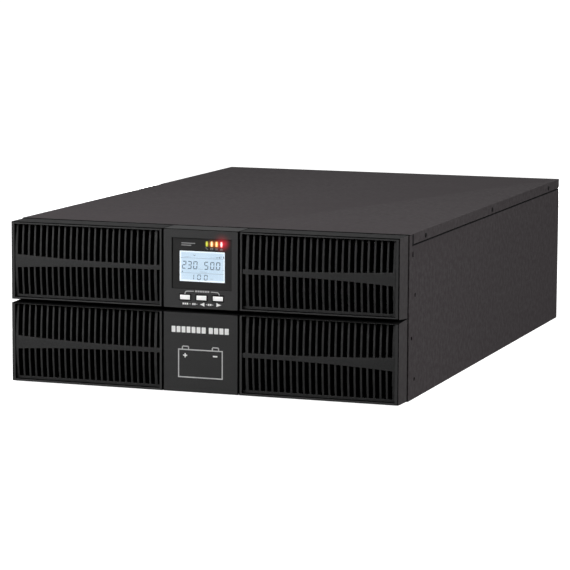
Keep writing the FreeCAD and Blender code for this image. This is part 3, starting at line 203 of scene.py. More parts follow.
# painted light: red, orange and yellow glows in emission on the overlay round the lit mouldings
PAINTED_SPILL = ((22.9, 160.2, 12.0, (1.0, 0.010, 0.03), 0.85), (27.0, 160.8, 9.0, (1.0, 0.010, 0.06), 0.30), (12.05, 159.6, 6.5, (1.0, 0.30, 0.01), 1.1), (17.5, 159.6, 6.5, (1.0, 0.24, 0.01), 0.9), (6.6, 159.6, 4.5, (0.55, 0.45, 0.02), 0.35))
M = {
    "case_paint": finish("case_paint", case_col, 0.66, 0.0, 0.22, 1300.0, 0.006, 0.02, 3.0, 0.03, 0.05, 0.22, grain_colour=0.03),
    "bezel_plastic": finish("bezel_plastic", bez_col, 0.55, 0.0, 0.25, 1500.0, 0.025, 0.03, 7.0, 0.05, 0.0, 0.18, grain_colour=0.05),
    # painted shade: the fins take a darker copy of the bezel plastic, darker still towards the bottom of the lower row
    "louvre_plastic": finish("louvre_plastic", scaled(bez_col, 0.70), 0.56, 0.0, 0.20, 1500.0, 0.02, 0.03, 9.0, 0.06, 0.0, 0.2, grain_colour=0.05, painted_shade_fall=(0.0, 0.09, 0.15)),
    "overlay": finish("overlay", (0.0235, 0.0232, 0.0232), 0.38, 0.0, 0.30, 2200.0, 0.006, 0.04, 16.0, 0.05, 0.0, 0.0, coat=0.1, painted_glow=PAINTED_SPILL),
    "screen": finish("screen", (0.20, 0.21, 0.22), 0.5, 0.3, 0.4, 700.0, 0.01, 0.05, 12.0, wear=0.2),
    # painted light: the white keys carry a faint white emission that makes them read brighter
    "button_white": finish("button_white", (0.96, 0.96, 0.95), 0.40, 0.0, 0.4, 1800.0, 0.008, 0.02, 40.0, 0.05, wear=0.1, wear_colour=(0.75, 0.75, 0.74), emit=(1.0, 1.0, 1.0), emit_strength=0.14),
    "circuit_board": finish("circuit_board", (0.02, 0.13, 0.055), 0.38, 0.0, 0.5, 240.0, 0.03, 0.18, 30.0, 0.1, 0.5, 0.2, grain_colour=0.25),
    "component_black": finish("component_black", (0.03, 0.03, 0.032), 0.55, 0.0, 0.35, 1200.0, 0.03, 0.1, 20.0, wear=0.25),
    "zinc_steel": finish("zinc_steel", (0.60, 0.59, 0.56), 0.36, 0.92, 0.5, 420.0, 0.012, 0.10, 14.0, 0.10, 0.12, 0.2, brushed=(1.0, 0.18, 1.0), grain_colour=0.08),
    "black_screw": finish("black_screw", (0.009, 0.009, 0.009), 0.5, 0.1, 0.2, 1500.0, 0.01, 0.12, 60.0, 0.08, wear=0.2, wear_colour=(0.08, 0.08, 0.08)),
    "fan_plastic": finish("fan_plastic", (0.024, 0.024, 0.026), 0.42, 0.0, 0.4, 900.0, 0.02, 0.1, 18.0, wear=0.2),
    "guard_wire": finish("guard_wire", (0.66, 0.66, 0.66), 0.20, 1.0, 0.5, 600.0, 0.008, 0.08, 40.0, 0.06, wear=0.15),
    "aluminium": finish("aluminium", (0.68, 0.69, 0.70), 0.34, 1.0, 0.5, 300.0, 0.015, 0.06, 10.0, 0.08, wear=0.1, brushed=(1.0, 0.05, 1.0), grain_colour=0.08),
    "capacitor_sleeve": finish("capacitor_sleeve", (0.025, 0.035, 0.09), 0.28, 0.0, 0.5, 500.0, 0.01, 0.08, 25.0, wear=0.1, coat=0.2),
    "choke_wire": finish("choke_wire", (0.50, 0.20, 0.07), 0.30, 0.75, 0.5, 260.0, 0.18, 0.12, 30.0, wear=0.1, brushed=(1.0, 1.0, 0.15), grain_colour=0.3),
    "relay_case": finish("relay_case", (0.05, 0.09, 0.20), 0.32, 0.0, 0.5, 800.0, 0.01, 0.07, 25.0, wear=0.1),
    "battery_case": finish("battery_case", (0.075, 0.076, 0.08), 0.52, 0.0, 0.35, 700.0, 0.04, 0.1, 14.0, wear=0.25, grain_colour=0.12),
    "battery_wire": finish("battery_wire", (0.34, 0.022, 0.016), 0.42, 0.0, 0.4, 500.0, 0.02, 0.12, 30.0, wear=0.1),
    "terminal_plastic": finish("terminal_plastic", (0.028, 0.028, 0.031), 0.46, 0.0, 0.4, 900.0, 0.02, 0.1, 30.0, wear=0.3),
    "connector_green": finish("connector_green", (0.02, 0.24, 0.075), 0.40, 0.0, 0.45, 900.0, 0.015, 0.08, 30.0, wear=0.2),
    "connector_grey": finish("connector_grey", (0.22, 0.225, 0.235), 0.46, 0.0, 0.4, 900.0, 0.02, 0.08, 30.0, wear=0.2),
    "brass": finish("brass", (0.66, 0.46, 0.17), 0.28, 1.0, 0.5, 500.0, 0.01, 0.10, 60.0, 0.08, wear=0.1, brushed=(1.0, 0.3, 1.0)),
    "lever_blue": finish("lever_blue", (0.03, 0.035, 0.05), 0.30, 0.0, 0.5, 900.0, 0.01, 0.08, 40.0, wear=0.3),
    "runner": finish("runner", (0.66, 0.66, 0.62), 0.35, 0.0, 0.4, 500.0, 0.02, 0.08, 20.0, wear=0.1),
}
M["white_print"] = finish("white_print", (0.88, 0.88, 0.87), 0.55, 0.0, 0.3, 2600.0, 0.004, 0.03, 80.0, wear=0.0, grain_colour=0.03)
M["grey_print"] = finish("grey_print", (0.30, 0.30, 0.30), 0.55, 0.0, 0.3, 2600.0, 0.004, 0.04, 80.0, wear=0.0, grain_colour=0.05)
# painted light: a faint red glow in emission on the display housing's face near the red lamp
M["housing_face"] = finish("housing_face", bez_col, 0.55, 0.0, 0.25, 1500.0, 0.025, 0.03, 7.0, 0.05, 0.0, 0.18, grain_colour=0.05,
                           painted_glow=((24.0, 162.0, 13.0, (1.0, 0.03, 0.04), 0.38),))
# painted light: a lighter copy of the bezel plastic for the display housing's top face
M["housing_top_painted_light"] = finish("housing_top_painted_light", scaled(bez_col, 1.55), 0.5, 0.0, 0.3, 1500.0, 0.025, 0.03, 7.0, 0.05, 0.0, 0.18, grain_colour=0.05)
# painted shade: a darker copy of the bezel plastic for the grille mouldings' top faces
M["grille_top_painted_shade"] = finish("grille_top_painted_shade", scaled(bez_col, 0.62), 0.6, 0.0, 0.15, 1500.0, 0.025, 0.03, 7.0, 0.05, 0.0, 0.12, grain_colour=0.05)
# painted light: a lighter copy of the bezel plastic for the mouldings' outer side faces
M["bezel_side_painted_light"] = finish("bezel_side_painted_light", (0.0540, 0.0485, 0.0500), 0.55, 0.0, 0.25, 1500.0, 0.025, 0.03, 7.0, 0.05, 0.0, 0.18, grain_colour=0.05)
M["seam"] = finish("seam", (0.017, 0.016, 0.0163), 0.8, 0.0, 0.1, 900.0, 0.02, 0.15, 30.0, wear=0.0)
M["light_pipe"] = finish("light_pipe", (0.55, 0.46, 0.26), 0.3, 0.0, 0.5, 900.0, 0.01, 0.08, 40.0, wear=0.0)
# painted shade: a darker copy of the bezel plastic for the battery panel's face
M["panel_face_painted_shade"] = finish("panel_face_painted_shade", scaled(bez_col, 0.84), 0.55, 0.0, 0.22, 1500.0, 0.025, 0.03, 7.0, 0.05, 0.0, 0.18, grain_colour=0.05)
# painted shade: near-black colours for inner walls, recesses and the rounded front edges
M["shade"] = finish("shade", (0.0042, 0.0042, 0.0044), 0.85, 0.0, 0.08, 900.0, 0.02, 0.15, 30.0, wear=0.0)
M["edge_shade"] = finish("edge_shade", (0.0035, 0.0035, 0.0036), 0.85, 0.0, 0.03, 1200.0, 0.02, 0.10, 20.0, wear=0.0)
M["case_inner"] = finish("case_inner", (0.009, 0.0088, 0.0088), 0.8, 0.0, 0.08, 1100.0, 0.04, 0.10, 6.0, wear=0.1, grain_colour=0.1)
M["mid_print"] = finish("mid_print", (0.52, 0.52, 0.52), 0.55, 0.0, 0.3, 2600.0, 0.004, 0.04, 80.0, wear=0.0, grain_colour=0.05)
M["lcd_ink"] = finish("lcd_ink", (0.10, 0.12, 0.15), 0.5, 0.0, 0.3, 2600.0, 0.002, 0.05, 60.0, wear=0.0, emit=(0.10, 0.15, 0.20), emit_strength=0.6)
M["lcd_faint"] = finish("lcd_faint", (0.3, 0.34, 0.38), 0.5, 0.0, 0.3, 2600.0, 0.002, 0.05, 60.0, wear=0.0, emit=(0.30, 0.38, 0.45), emit_strength=0.85)
M["painted_recess_shade"] = finish("painted_recess_shade", (0.008, 0.008, 0.009), 0.7, 0.0, 0.2, 900.0, 0.02, 0.1, 30.0, wear=0.0)


def glassy(name, tint, clear=0.9, rough=0.06):
    n = Nodes(name)
    clear_part = n.add("ShaderNodeBsdfTransparent")
    clear_part.inputs["Color"].default_value = tint + (1.0,)
    gloss = n.add("ShaderNodeBsdfGlossy")
    haze = n.noise(70.0, 4.0, 0.6)
    n.link(n.ramp(haze, 0.3, 0.7, rough, rough + 0.10), gloss.inputs["Roughness"])
    gloss.inputs["Color"].default_value = (1.0, 1.0, 1.0, 1.0)
    mix = n.add("ShaderNodeMixShader")
    mix.inputs[0].default_value = 0.06
    n.link(clear_part.outputs[0], mix.inputs[1])
    n.link(gloss.outputs[0], mix.inputs[2])
    n.link(mix.outputs[0], n.out.inputs["Surface"])
    return n.m


M["clear_cover"] = glassy("clear_cover", (0.93, 0.96, 0.98))


def lamp(name, core, rim, strength, centre_x, centre_z, body):
    """A lit moulding: hot in its middle, deeper coloured towards its edge."""
    n = Nodes(name)
    p = n.add("ShaderNodeBsdfPrincipled")
    n.link(p.outputs["BSDF"], n.out.inputs["Surface"])
    sep = n.add("ShaderNodeSeparateXYZ")
    n.link(n.coord.outputs["Object"], sep.inputs[0])
    dx = n.maths("ABSOLUTE", n.maths("SUBTRACT", sep.outputs["X"], centre_x))
    dz = n.maths("ABSOLUTE", n.maths("SUBTRACT", sep.outputs["Z"], centre_z))
    d = n.maths("ADD", n.maths("MULTIPLY", dx, 1.0 / 0.0013), n.maths("MULTIPLY", dz, 0.6 / 0.0027))
    speck = n.maths("MULTIPLY", n.noise(1500.0, 2.0), 0.25)
    f = n.ramp(n.maths("ADD", d, speck), 0.35, 1.5)
    c = n.mix(f, core, rim)
    n.link(c, p.inputs["Emission Color"])
    p.inputs["Emission Strength"].default_value = strength
    p.inputs["Base Color"].default_value = body + (1.0,)
    n.link(n.ramp(n.noise(300.0), 0.3, 0.7, 0.12, 0.25), p.inputs["Roughness"])
    return n.m


# ---------------------------------------------------------------- mesh helpers
def add_object(name, me, body, mats, stands_for=()):
    ob = bpy.data.objects.new(name, me)
    scene.collection.objects.link(ob)
    for m in mats:
        me.materials.append(m)
    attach(ob, body)
    if stands_for:
        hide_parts(*stands_for)
    return ob


def mesh_from(name, bm, smooth_angle=35.0):
    bm.normal_update()
    for f in bm.faces:
        f.smooth = True
    lim = math.radians(smooth_angle)
    for e in bm.edges:
        e.smooth = not (len(e.link_faces) == 2 and e.calc_face_angle(0.0) > lim)
    me = bpy.data.meshes.new(name)
    bm.to_mesh(me)
    bm.free()
    return me


def weighted(ob):
    w = ob.modifiers.new("normals", "WEIGHTED_NORMAL")
    w.keep_sharp = True
    w.weight = 60
    return ob


def box_bm(x0, x1, y0, y1, z0, z1, r=0.0, seg=2, bm=None):
    bm2 = bmesh.new()
    bmesh.ops.create_cube(bm2, size=1.0)
    bmesh.ops.scale(bm2, vec=((x1 - x0) * MM, (y1 - y0) * MM, (z1 - z0) * MM), verts=bm2.verts)
    bmesh.ops.translate(bm2, vec=((x0 + x1) * MM / 2, (y0 + y1) * MM / 2, (z0 + z1) * MM / 2), verts=bm2.verts)
    if r:
        bmesh.ops.bevel(bm2, geom=bm2.edges[:], offset=r * MM, segments=seg, profile=0.5, affect="EDGES")
    if bm is None:
        return bm2
    me = bpy.data.meshes.new("tmp")
    bm2.to_mesh(me)
    bm2.free()
    bm.from_mesh(me)
    bpy.data.meshes.remove(me)
    return bm


def plate_bm(outer, y0, y1, holes=(), bm=None):
    """A flat shape in X and Z, in millimetres, between two Y planes. y0 is the front."""
    own = bmesh.new()
    loops = [outer] + list(holes)
    edges = []
    for pts in loops:
        vs = [own.verts.new((x * MM, y0 * MM, z * MM)) for x, z in pts]
        edges += [own.edges.new((vs[i], vs[(i + 1) % len(vs)])) for i in range(len(vs))]
    bmesh.ops.triangle_fill(own, use_beauty=True, edges=edges)
    ext = bmesh.ops.extrude_face_region(own, geom=own.faces[:])
    moved = [g for g in ext["geom"] if isinstance(g, bmesh.types.BMVert)]
    bmesh.ops.translate(own, vec=(0, (y1 - y0) * MM, 0), verts=moved)
    bmesh.ops.recalc_face_normals(own, faces=own.faces)
    if bm is None:
        return own
    me = bpy.data.meshes.new("tmp")
    own.to_mesh(me)
    own.free()
    bm.from_mesh(me)
    bpy.data.meshes.remove(me)
    return bm


def round_rect(x0, x1, z0, z1, r, n=6):
    pts = []
    for cx, cz, a0 in ((x1 - r, z1 - r, 0), (x0 + r, z1 - r, 90), (x0 + r, z0 + r, 180), (x1 - r, z0 + r, 270)):
        for i in range(n + 1):
            a = math.radians(a0 + 90.0 * i / n)
            pts.append((cx + r * math.cos(a), cz + r * math.sin(a)))
    return pts


def circle(cx, cz, r, n=32):
    return [(cx + r * math.cos(2 * math.pi * i / n), cz + r * math.sin(2 * math.pi * i / n)) for i in range(n)]



def cad_bm(node):
    """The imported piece's own mesh with its split corners joined."""
    src = frame["nodes"][node].data
    bm = bmesh.new()
    vs = [bm.verts.new(v.co) for v in src.vertices]
    for p in src.polygons:
        try:
            bm.faces.new([vs[i] for i in p.vertices])
        except ValueError:
            pass
    bmesh.ops.remove_doubles(bm, verts=bm.verts, dist=3e-6)
    bmesh.ops.dissolve_degenerate(bm, dist=2e-6, edges=bm.edges)
    bmesh.ops.recalc_face_normals(bm, faces=bm.faces)
    bm.normal_update()
    return bm


def refine(node, width=0.4, seg=2, mats=None, choose=None, longer=3.0, angle=33.0, shape=None):
    """The same piece with its long hard edges softly rounded and its finish chosen face by face."""
    bm = cad_bm(node)
    lim = math.radians(angle)
    if shape:
        for v in bm.verts:
            v.co = Vector(shape(v.co / MM)) * MM
        bm.normal_update()
    if choose:
        for f in bm.faces:
            c = f.calc_center_median() / MM
            f.material_index = choose(c, f.normal)
    soft = []
    for i, e in enumerate(bm.edges):
        hard = len(e.link_faces) == 2 and e.calc_face_angle(0.0) > lim
        e.smooth = not hard
        soft.append(1.0 if hard and width and e.calc_length() > longer * MM else 0.0)
    for f in bm.faces:
        f.smooth = True
    me = bpy.data.meshes.new(node + "_piece")
    bm.to_mesh(me)
    bm.free()
    ob = add_object(node + "_piece", me, BODY[node], mats or [M[SLOT[node]]], (node,))
    if width and any(soft):
        att = me.attributes.new("bevel_weight_edge", "FLOAT", "EDGE")
        att.data.foreach_set("value", soft)
        b = ob.modifiers.new("edges", "BEVEL")
        b.width = width * MM
        b.segments = seg
        b.limit_method = "WEIGHT"
        b.use_clamp_overlap = True
        b.miter_outer = "MITER_ARC"
        b.harden_normals = False
    weighted(ob)
    return ob


# ------------------------------------------------------- finishes on every node
for node_name, ob in frame["nodes"].items():
    ob.data.materials.clear()
    # the tray, front plate and middle shelf are near black, partly as their own dark paint and partly as painted shade
    # so that holes and gaps into the case read dark
    dark = node_name in ("battery_tray", "front_plate", "mid_shelf")
    ob.data.materials.append(M["case_inner"] if dark else M[SLOT[node_name]])


# ------------------------------------------------------------- front mouldings
def front_choice(x0, x1, upper, plain=0, shade=1, edge=2, top=0):
    """Face finish of a front moulding: plain where it is seen, painted shade inside, darker painted shade along its
    rounded front edges, and the top, outer side and groove faces in their own finishes.
    """
    outer_r, outer_l = x1 > 200.0, x0 < -200.0

    def pick(c, n):
        if n.y < -0.97 and c.y < FACE + 0.1:
            return plain
        if n.y < -0.97 and c.y < FACE + 1.6 and upper and x0 > -60 and x1 < 60:
            return edge
        on_outer = (outer_r and c.x > x1 - 1.3) or (outer_l and c.x < x0 + 1.3)
        if c.y < FACE + 1.35 and n.y < -0.08:
            if n.z > 0.2 or abs(n.x) > 0.2 or n.z < -0.2:
                return edge
        if upper and n.z > 0.7 and c.z > TOP - 1.2 and c.y < FRONT - 1.7:
            return top
        if on_outer and abs(n.x) > 0.7 and abs(c.x) > 217.7 and c.y < FRONT - 1.7:
            return 4
        if on_outer and c.y > FRONT - 1.7 and abs(c.x) > 216.5:
            return 5
        return shade
    return pick


A0, BX = MODULE + 1.2, HALF - 1.2
for row, upper in (("upper", True), ("lower", False)):
    for name, side in (("left", -1), ("right", 1)):
        x0, x1 = (A0, BX) if side > 0 else (-BX, -A0)
        refine("%s_%s_grille" % (row, name), 0.3, 2, [M["bezel_plastic"], M["shade"], M["edge_shade"], M["grille_top_painted_shade"], M["bezel_side_painted_light"], M["seam"]], front_choice(x0, x1, upper, top=3), longer=6.0,
               shape=lambda p: (math.copysign(217.45, p.x), p.y, p.z) if abs(abs(p.x) - 216.8) < 0.02 and p.y > FRONT - 1.75 else tuple(p))
refine("display_housing", 0.25, 2, [M["housing_face"], M["shade"], M["edge_shade"], M["housing_top_painted_light"]], front_choice(-MODULE, MODULE, True, top=3), longer=4.0)
refine("battery_panel", 0.25, 2, [M["panel_face_painted_shade"], M["shade"], M["edge_shade"]], front_choice(-MODULE, MODULE, False), longer=6.0)


def band_edge(x, zm, up):
    u = max(0.0, min(1.0, (x - 51.47) / (6.972 * 23)))
    w = u ** 2.2
    return zm + 2.1 + 4.4 * w if up else zm - 2.8 - 5.0 * w


def louvre_piece(row, name, side, upper):
    """Bowed fins crossed by a swept band, on a foot rail, in one closed mesh."""
    node = "%s_%s_louvre" % (row, name)
    if upper:
        lo, hi, zm = SPLIT + 0.15 + 2.65 + 2.3 + 0.15, TOP - 0.7 - 0.1 - 2.6 - 0.15, 132.5
    else:
        lo, hi, zm = 0.3 + 1.0 + 2.3 + 0.15, SPLIT - 0.15 - 1.0 - 1.05 - 0.15, 44.225
    o0, o1 = A0 + 3.0 + 0.15, BX - 3.8 - 0.15
    sill = 2.8
    # arc through the three heights, in Y
    y_mid, y_end, y_back = FACE + 1.0, FACE + 4.0, FACE + 14.0
    ax, bx2, cx2 = (lo, y_end), (zm, y_mid), (hi, y_end)
    d = 2 * (ax[0] * (bx2[1] - cx2[1]) + bx2[0] * (cx2[1] - ax[1]) + cx2[0] * (ax[1] - bx2[1]))
    sq = lambda p: p[0] ** 2 + p[1] ** 2
    uz = (sq(ax) * (bx2[1] - cx2[1]) + sq(bx2) * (cx2[1] - ax[1]) + sq(cx2) * (ax[1] - bx2[1])) / d
    uy = (sq(ax) * (cx2[0] - bx2[0]) + sq(bx2) * (ax[0] - cx2[0]) + sq(cx2) * (bx2[0] - ax[0])) / d
    rad = math.hypot(ax[0] - uz, ax[1] - uy)

    def front_y(z):
        return uy - math.sqrt(max(0.0, rad * rad - (z - uz) ** 2))

    cols, solid = [o0], []
    for k in range(24):
        c = 51.47 + 6.972 * k
        h = (3.2 if k == 0 else 2.1) / 2
        cols += [c - h, c + h]
        solid += [False, True]
    cols[-1] = o1
    nd, nu, nb = 12, 12, 3
    bm = bmesh.new()
    fr, bk = [], []
    for x in cols:
        dn, up = band_edge(x, zm, False), band_edge(x, zm, True)
        lv = [lo, lo + sill] + [lo + sill + (dn - lo - sill) * (i + 1) / nd for i in range(nd)]
        lv += [dn + (up - dn) * (i + 1) / nb for i in range(nb)]
        lv += [up + (hi - up) * (i + 1) / nu for i in range(nu)]
        fr.append([bm.verts.new((side * x * MM, front_y(z) * MM, z * MM)) for z in lv])
        bk.append([bm.verts.new((side * x * MM, y_back * MM, z * MM)) for z in lv])
    rows = len(fr[0]) - 1
    kept = {}
    for j in range(len(cols) - 1):
        for i in range(rows):
            kept[j, i] = solid[j] or i == 0 or nd + 1 <= i < nd + 1 + nb
    for (j, i), on in kept.items():
        if not on:
            continue
        bm.faces.new((fr[j][i], fr[j + 1][i], fr[j + 1][i + 1], fr[j][i + 1]))
        bm.faces.new((bk[j][i], bk[j][i + 1], bk[j + 1][i + 1], bk[j + 1][i]))
        for dj, di, a, b in ((-1, 0, (j, i), (j, i + 1)), (1, 0, (j + 1, i), (j + 1, i + 1)), (0, -1, (j, i), (j + 1, i)), (0, 1, (j, i + 1), (j + 1, i + 1))):
            if not kept.get((j + dj, i + di), False):
                f = bm.faces.new((fr[a[0]][a[1]], fr[b[0]][b[1]], bk[b[0]][b[1]], bk[a[0]][a[1]]))
                # painted shade on every wall between front and back, such as the fins' sides and the band's upper and
                # lower faces
                f.material_index = 1
    loose = [v for v in bm.verts if not v.link_faces]
    bmesh.ops.delete(bm, geom=loose, context="VERTS")
    bmesh.ops.recalc_face_normals(bm, faces=bm.faces)
    keep_n = len(bm.faces)
    # the flange that sits behind the rim
    s0, s1 = sorted((side * (o0 - 0.8), side * (o1 + 0.8)))
    box_bm(s0, s1, y_back - 3.0, y_back + 0.02, hi - 1.6, hi + 0.45, bm=bm)
    box_bm(s0, s1, y_back - 3.0, y_back + 0.02, lo - 0.45, lo + 0.2, bm=bm)
    for q0, q1 in ((o0 - 0.8, o0 + 0.3), (o1 - 0.3, o1 + 0.8)):
        e0, e1 = sorted((side * q0, side * q1))
        box_bm(e0, e1, y_back - 3.0, y_back + 0.02, lo - 0.4, hi + 0.4, bm=bm)
    bm.faces.ensure_lookup_table()
    # painted shade on the flange behind the rim
    for f in bm.faces[keep_n:]:
        f.material_index = 1
    me = mesh_from(node + "_piece", bm, 33.0)
    ob = add_object(node + "_piece", me, BODY[node], [M["louvre_plastic"], M["shade"]], (node,))
    b = ob.modifiers.new("edges", "BEVEL")
    b.width = 0.38 * MM
    b.segments = 2
    b.limit_method = "ANGLE"
    b.angle_limit = math.radians(33.0)
    b.use_clamp_overlap = True
    b.material = 0
    weighted(ob)


for row, upper in (("upper", True), ("lower", False)):
    for name, side in (("left", -1), ("right", 1)):
        louvre_piece(row, name, side, upper)

# ------------------------------------------------------------- display contents
PX = 1.2
refine("display_overlay", 0.12, 2, longer=4.0)
for node in ("button_left", "button_centre", "button_right"):
    # painted shade on the keys' side walls, white only on their front
    refine(node, 0.25, 3, [M["button_white"], M["shade"]], lambda c, n: 0 if n.y < -0.35 and c.y < FACE else 1, longer=2.0)


def flat(name, shapes, y0, y1, mat, body):
    bm = bmesh.new()
    for outer, holes in shapes:
        plate_bm(outer, y0, y1, holes, bm=bm)
    me = mesh_from(name, bm)
    return add_object(name, me, body, [mat])


def bar(x0, x1, z0, z1):
    return [(x0, z0), (x1, z0), (x1, z1), (x0, z1)]


def stroke(pts, w):
    """A line of width w through the points, as one closed outline."""
    left, right = [], []
    for i, (x, z) in enumerate(pts):
        if i == 0:
            dx, dz = pts[1][0] - x, pts[1][1] - z
        elif i == len(pts) - 1:
            dx, dz = x - pts[i - 1][0], z - pts[i - 1][1]
        else:
            dx, dz = pts[i + 1][0] - pts[i - 1][0], pts[i + 1][1] - pts[i - 1][1]
        n = math.hypot(dx, dz)
        ox, oz = -dz / n * w / 2, dx / n * w / 2
        left.append((x + ox, z + oz))
        right.append((x - ox, z - oz))
    return left + right[::-1]


SEG = {"0": "abcdef", "1": "bc", "2": "abged", "3": "abgcd", "5": "afgcd"}


def digit(ch, x, z, w, h, t, slant=0.06):
    """Seven segment digit, lower left corner at x, z."""
    m = h / 2
    g = t * 0.28
    parts = {
        "a": [(g, h), (w - g, h), (w - g - t, h - t), (g + t, h - t)],
        "d": [(g, 0), (g + t, t), (w - g - t, t), (w - g, 0)],
        "g": [(g + t / 2, m), (g + t, m + t / 2), (w - g - t, m + t / 2), (w - g - t / 2, m), (w - g - t, m - t / 2), (g + t, m - t / 2)],
        "f": [(0, h - g), (t, h - g - t), (t, m + g + t / 2), (0, m + g)],
        "b": [(w, h - g), (w, m + g), (w - t, m + g + t / 2), (w - t, h - g - t)],
        "e": [(0, g), (0, m - g), (t, m - g - t / 2), (t, g + t)],
        "c": [(w, g), (w - t, g + t), (w - t, m - g - t / 2), (w, m - g)],
    }
    return [([(x + px + pz * slant, z + pz) for px, pz in parts[k]], []) for k in SEG[ch]]


# the lit face: brighter towards its border
n = Nodes("screen_lit")
p = n.add("ShaderNodeBsdfPrincipled")
n.link(p.outputs["BSDF"], n.out.inputs["Surface"])
sep = n.add("ShaderNodeSeparateXYZ")
n.link(n.coord.outputs["Object"], sep.inputs[0])
ex = n.maths("ABSOLUTE", n.maths("SUBTRACT", sep.outputs["X"], PX * MM))
ez = n.maths("ABSOLUTE", n.maths("SUBTRACT", sep.outputs["Z"], 135.3 * MM))
rim_x = n.ramp(ex, 23.2 * MM, 25.2 * MM)
rim_z = n.ramp(ez, 13.9 * MM, 15.9 * MM)
rim = n.maths("MAXIMUM", rim_x, rim_z)
cloud = n.ramp(n.noise(60.0, 2.0), 0.3, 0.7, 0.0, 0.25)
col = n.mix(n.maths("ADD", n.maths("MULTIPLY", rim, 0.9), n.maths("MULTIPLY", cloud, 0.4)), (0.73, 0.86, 0.98), (1.35, 1.38, 1.40))
n.link(col, p.inputs["Emission Color"])
p.inputs["Emission Strength"].default_value = 1.04
p.inputs["Base Color"].default_value = (0.04, 0.05, 0.06, 1.0)
n.link(n.ramp(n.noise(200.0), 0.3, 0.7, 0.3, 0.5), p.inputs["Roughness"])
p.inputs["Specular IOR Level"].default_value = 0.1
M["screen_lit"] = n.m
LCD = FACE + 2.95
flat("screen_face", [(bar(PX - 26.6, PX + 26.6, 117.6, 152.3), [])], LCD - 0.30, LCD - 0.08, M["screen_lit"], "display_module")
ink = []
for ch, x in (("2", -22.0), ("3", -15.9), ("0", -9.4)):
    ink += digit(ch, x, 132.2, 4.6, 8.4, 0.98)
for ch, x in (("5", 2.9), ("0", 9.6), ("0", 16.2)):
    ink += digit(ch, x, 132.2, 4.6, 8.4, 0.98)
ink.append((bar(15.0, 15.7, 132.2, 132.9), []))
for ch, x in (("1", -12.4), ("0", -4.8), ("0", 2.8)):
    ink += digit(ch, x, 120.9, 3.9, 5.8, 0.78)
ink += [(bar(16.2, 17.4, 144.9, 145.6), []), (bar(18.0, 18.5, 144.6, 146.0), []), (bar(19.6, 20.5, 144.6, 146.4), []), (bar(21.6, 22.2, 144.6, 147.0), []), (bar(24.6, 25.4, 144.7, 146.9), [])]
ink += [(stroke([(-9.2, 147.2), (-8.0, 146.5), (-6.6, 147.4)], 0.5), []), (bar(-22.0, -21.0, 128.8, 130.0), [])]
flat("screen_digits", ink, LCD - 0.42, LCD - 0.29, M["lcd_ink"], "display_module")
faint = [(bar(-23.4, 24.8, 143.65, 144.2), []), (bar(-23.4, 24.8, 127.8, 128.35), []), (bar(-1.6, 6.6, 129.3, 129.8), []), (bar(-3.8, 1.8, 132.3, 132.8), []),
         (bar(-19.0, -12.0, 144.8, 145.2), []), (bar(10.0, 15.0, 144.8, 145.2), []), (bar(23.0, 25.6, 132.2, 132.8), []), (bar(9.5, 13.0, 122.2, 122.7), [])]
flat("screen_lines", faint, LCD - 0.38, LCD - 0.29, M["lcd_faint"], "display_module")
bm = plate_bm(bar(PX - 27.4, PX + 27.4, 117.2, 152.4), FACE + 2.24, FACE + 2.40)
cover = add_object("lcd_glass_piece", mesh_from("lcd_glass_piece", bm), "display_module", [M["clear_cover"]], ("lcd_glass",))

LED_Z = 159.6
for i, (core, rimc, power, body) in enumerate((
        ((0.86, 0.88, 0.10), (0.22, 0.20, 0.01), 0.80, (0.25, 0.28, 0.05)),
        ((1.0, 0.86, 0.62), (0.85, 0.22, 0.02), 1.25, (0.4, 0.3, 0.1)),
        ((1.0, 0.86, 0.50), (0.80, 0.26, 0.01), 1.15, (0.4, 0.3, 0.1)),
        ((1.0, 0.82, 0.80), (1.0, 0.04, 0.04), 1.7, (0.4, 0.05, 0.05)))):
    cx = PX + 5.4 + 5.45 * i
    m = lamp("lamp_%d" % i, core, rimc, power, cx * MM, LED_Z * MM, body)
    bm = box_bm(cx - 1.3, cx + 1.3, FACE + 0.9, FACE + 9.0, LED_Z - 2.7, LED_Z + 2.7, 0.4, 3)
    add_object("lit_moulding_%d" % i, mesh_from("lit_moulding_%d" % i, bm, 40.0), "display_module", [m], ("light_pipes",) if i == 0 else ())

PRINT = FACE + 1.2
marks = []
for i in range(4):
    cx = PX + 5.4 + 5.45 * i
    if i == 0:
        marks += [(stroke([(cx - 1.6, 155.6), (cx - 0.6, 155.4), (cx + 0.6, 154.0), (cx + 1.5, 153.8)], 0.45), [])]
    elif i == 1:
        marks += [(round_rect(cx - 1.5, cx + 1.5, 153.6, 155.5, 0.6), [round_rect(cx - 1.0, cx + 1.0, 154.0, 155.1, 0.3)])]
    elif i == 2:
        marks += [(bar(cx - 1.6, cx + 1.4, 153.8, 154.2), []), (bar(cx - 1.6, cx + 1.4, 154.9, 155.3), [])]
    else:
        marks += [([(cx - 1.6, 153.6), (cx + 1.6, 153.6), (cx, 155.9)], [[(cx - 0.8, 154.0), (cx + 0.8, 154.0), (cx, 155.1)]])]
flat("status_marks", marks, PRINT - 0.06, PRINT + 0.05, M["grey_print"], "display_module")
flat("name_lines", [(round_rect(-22.0, -6.5, 159.1, 160.2, 0.3), []), (round_rect(-22.0, -11.0, 156.9, 158.0, 0.3), [])], PRINT - 0.06, PRINT + 0.05, M["grey_print"], "display_module")

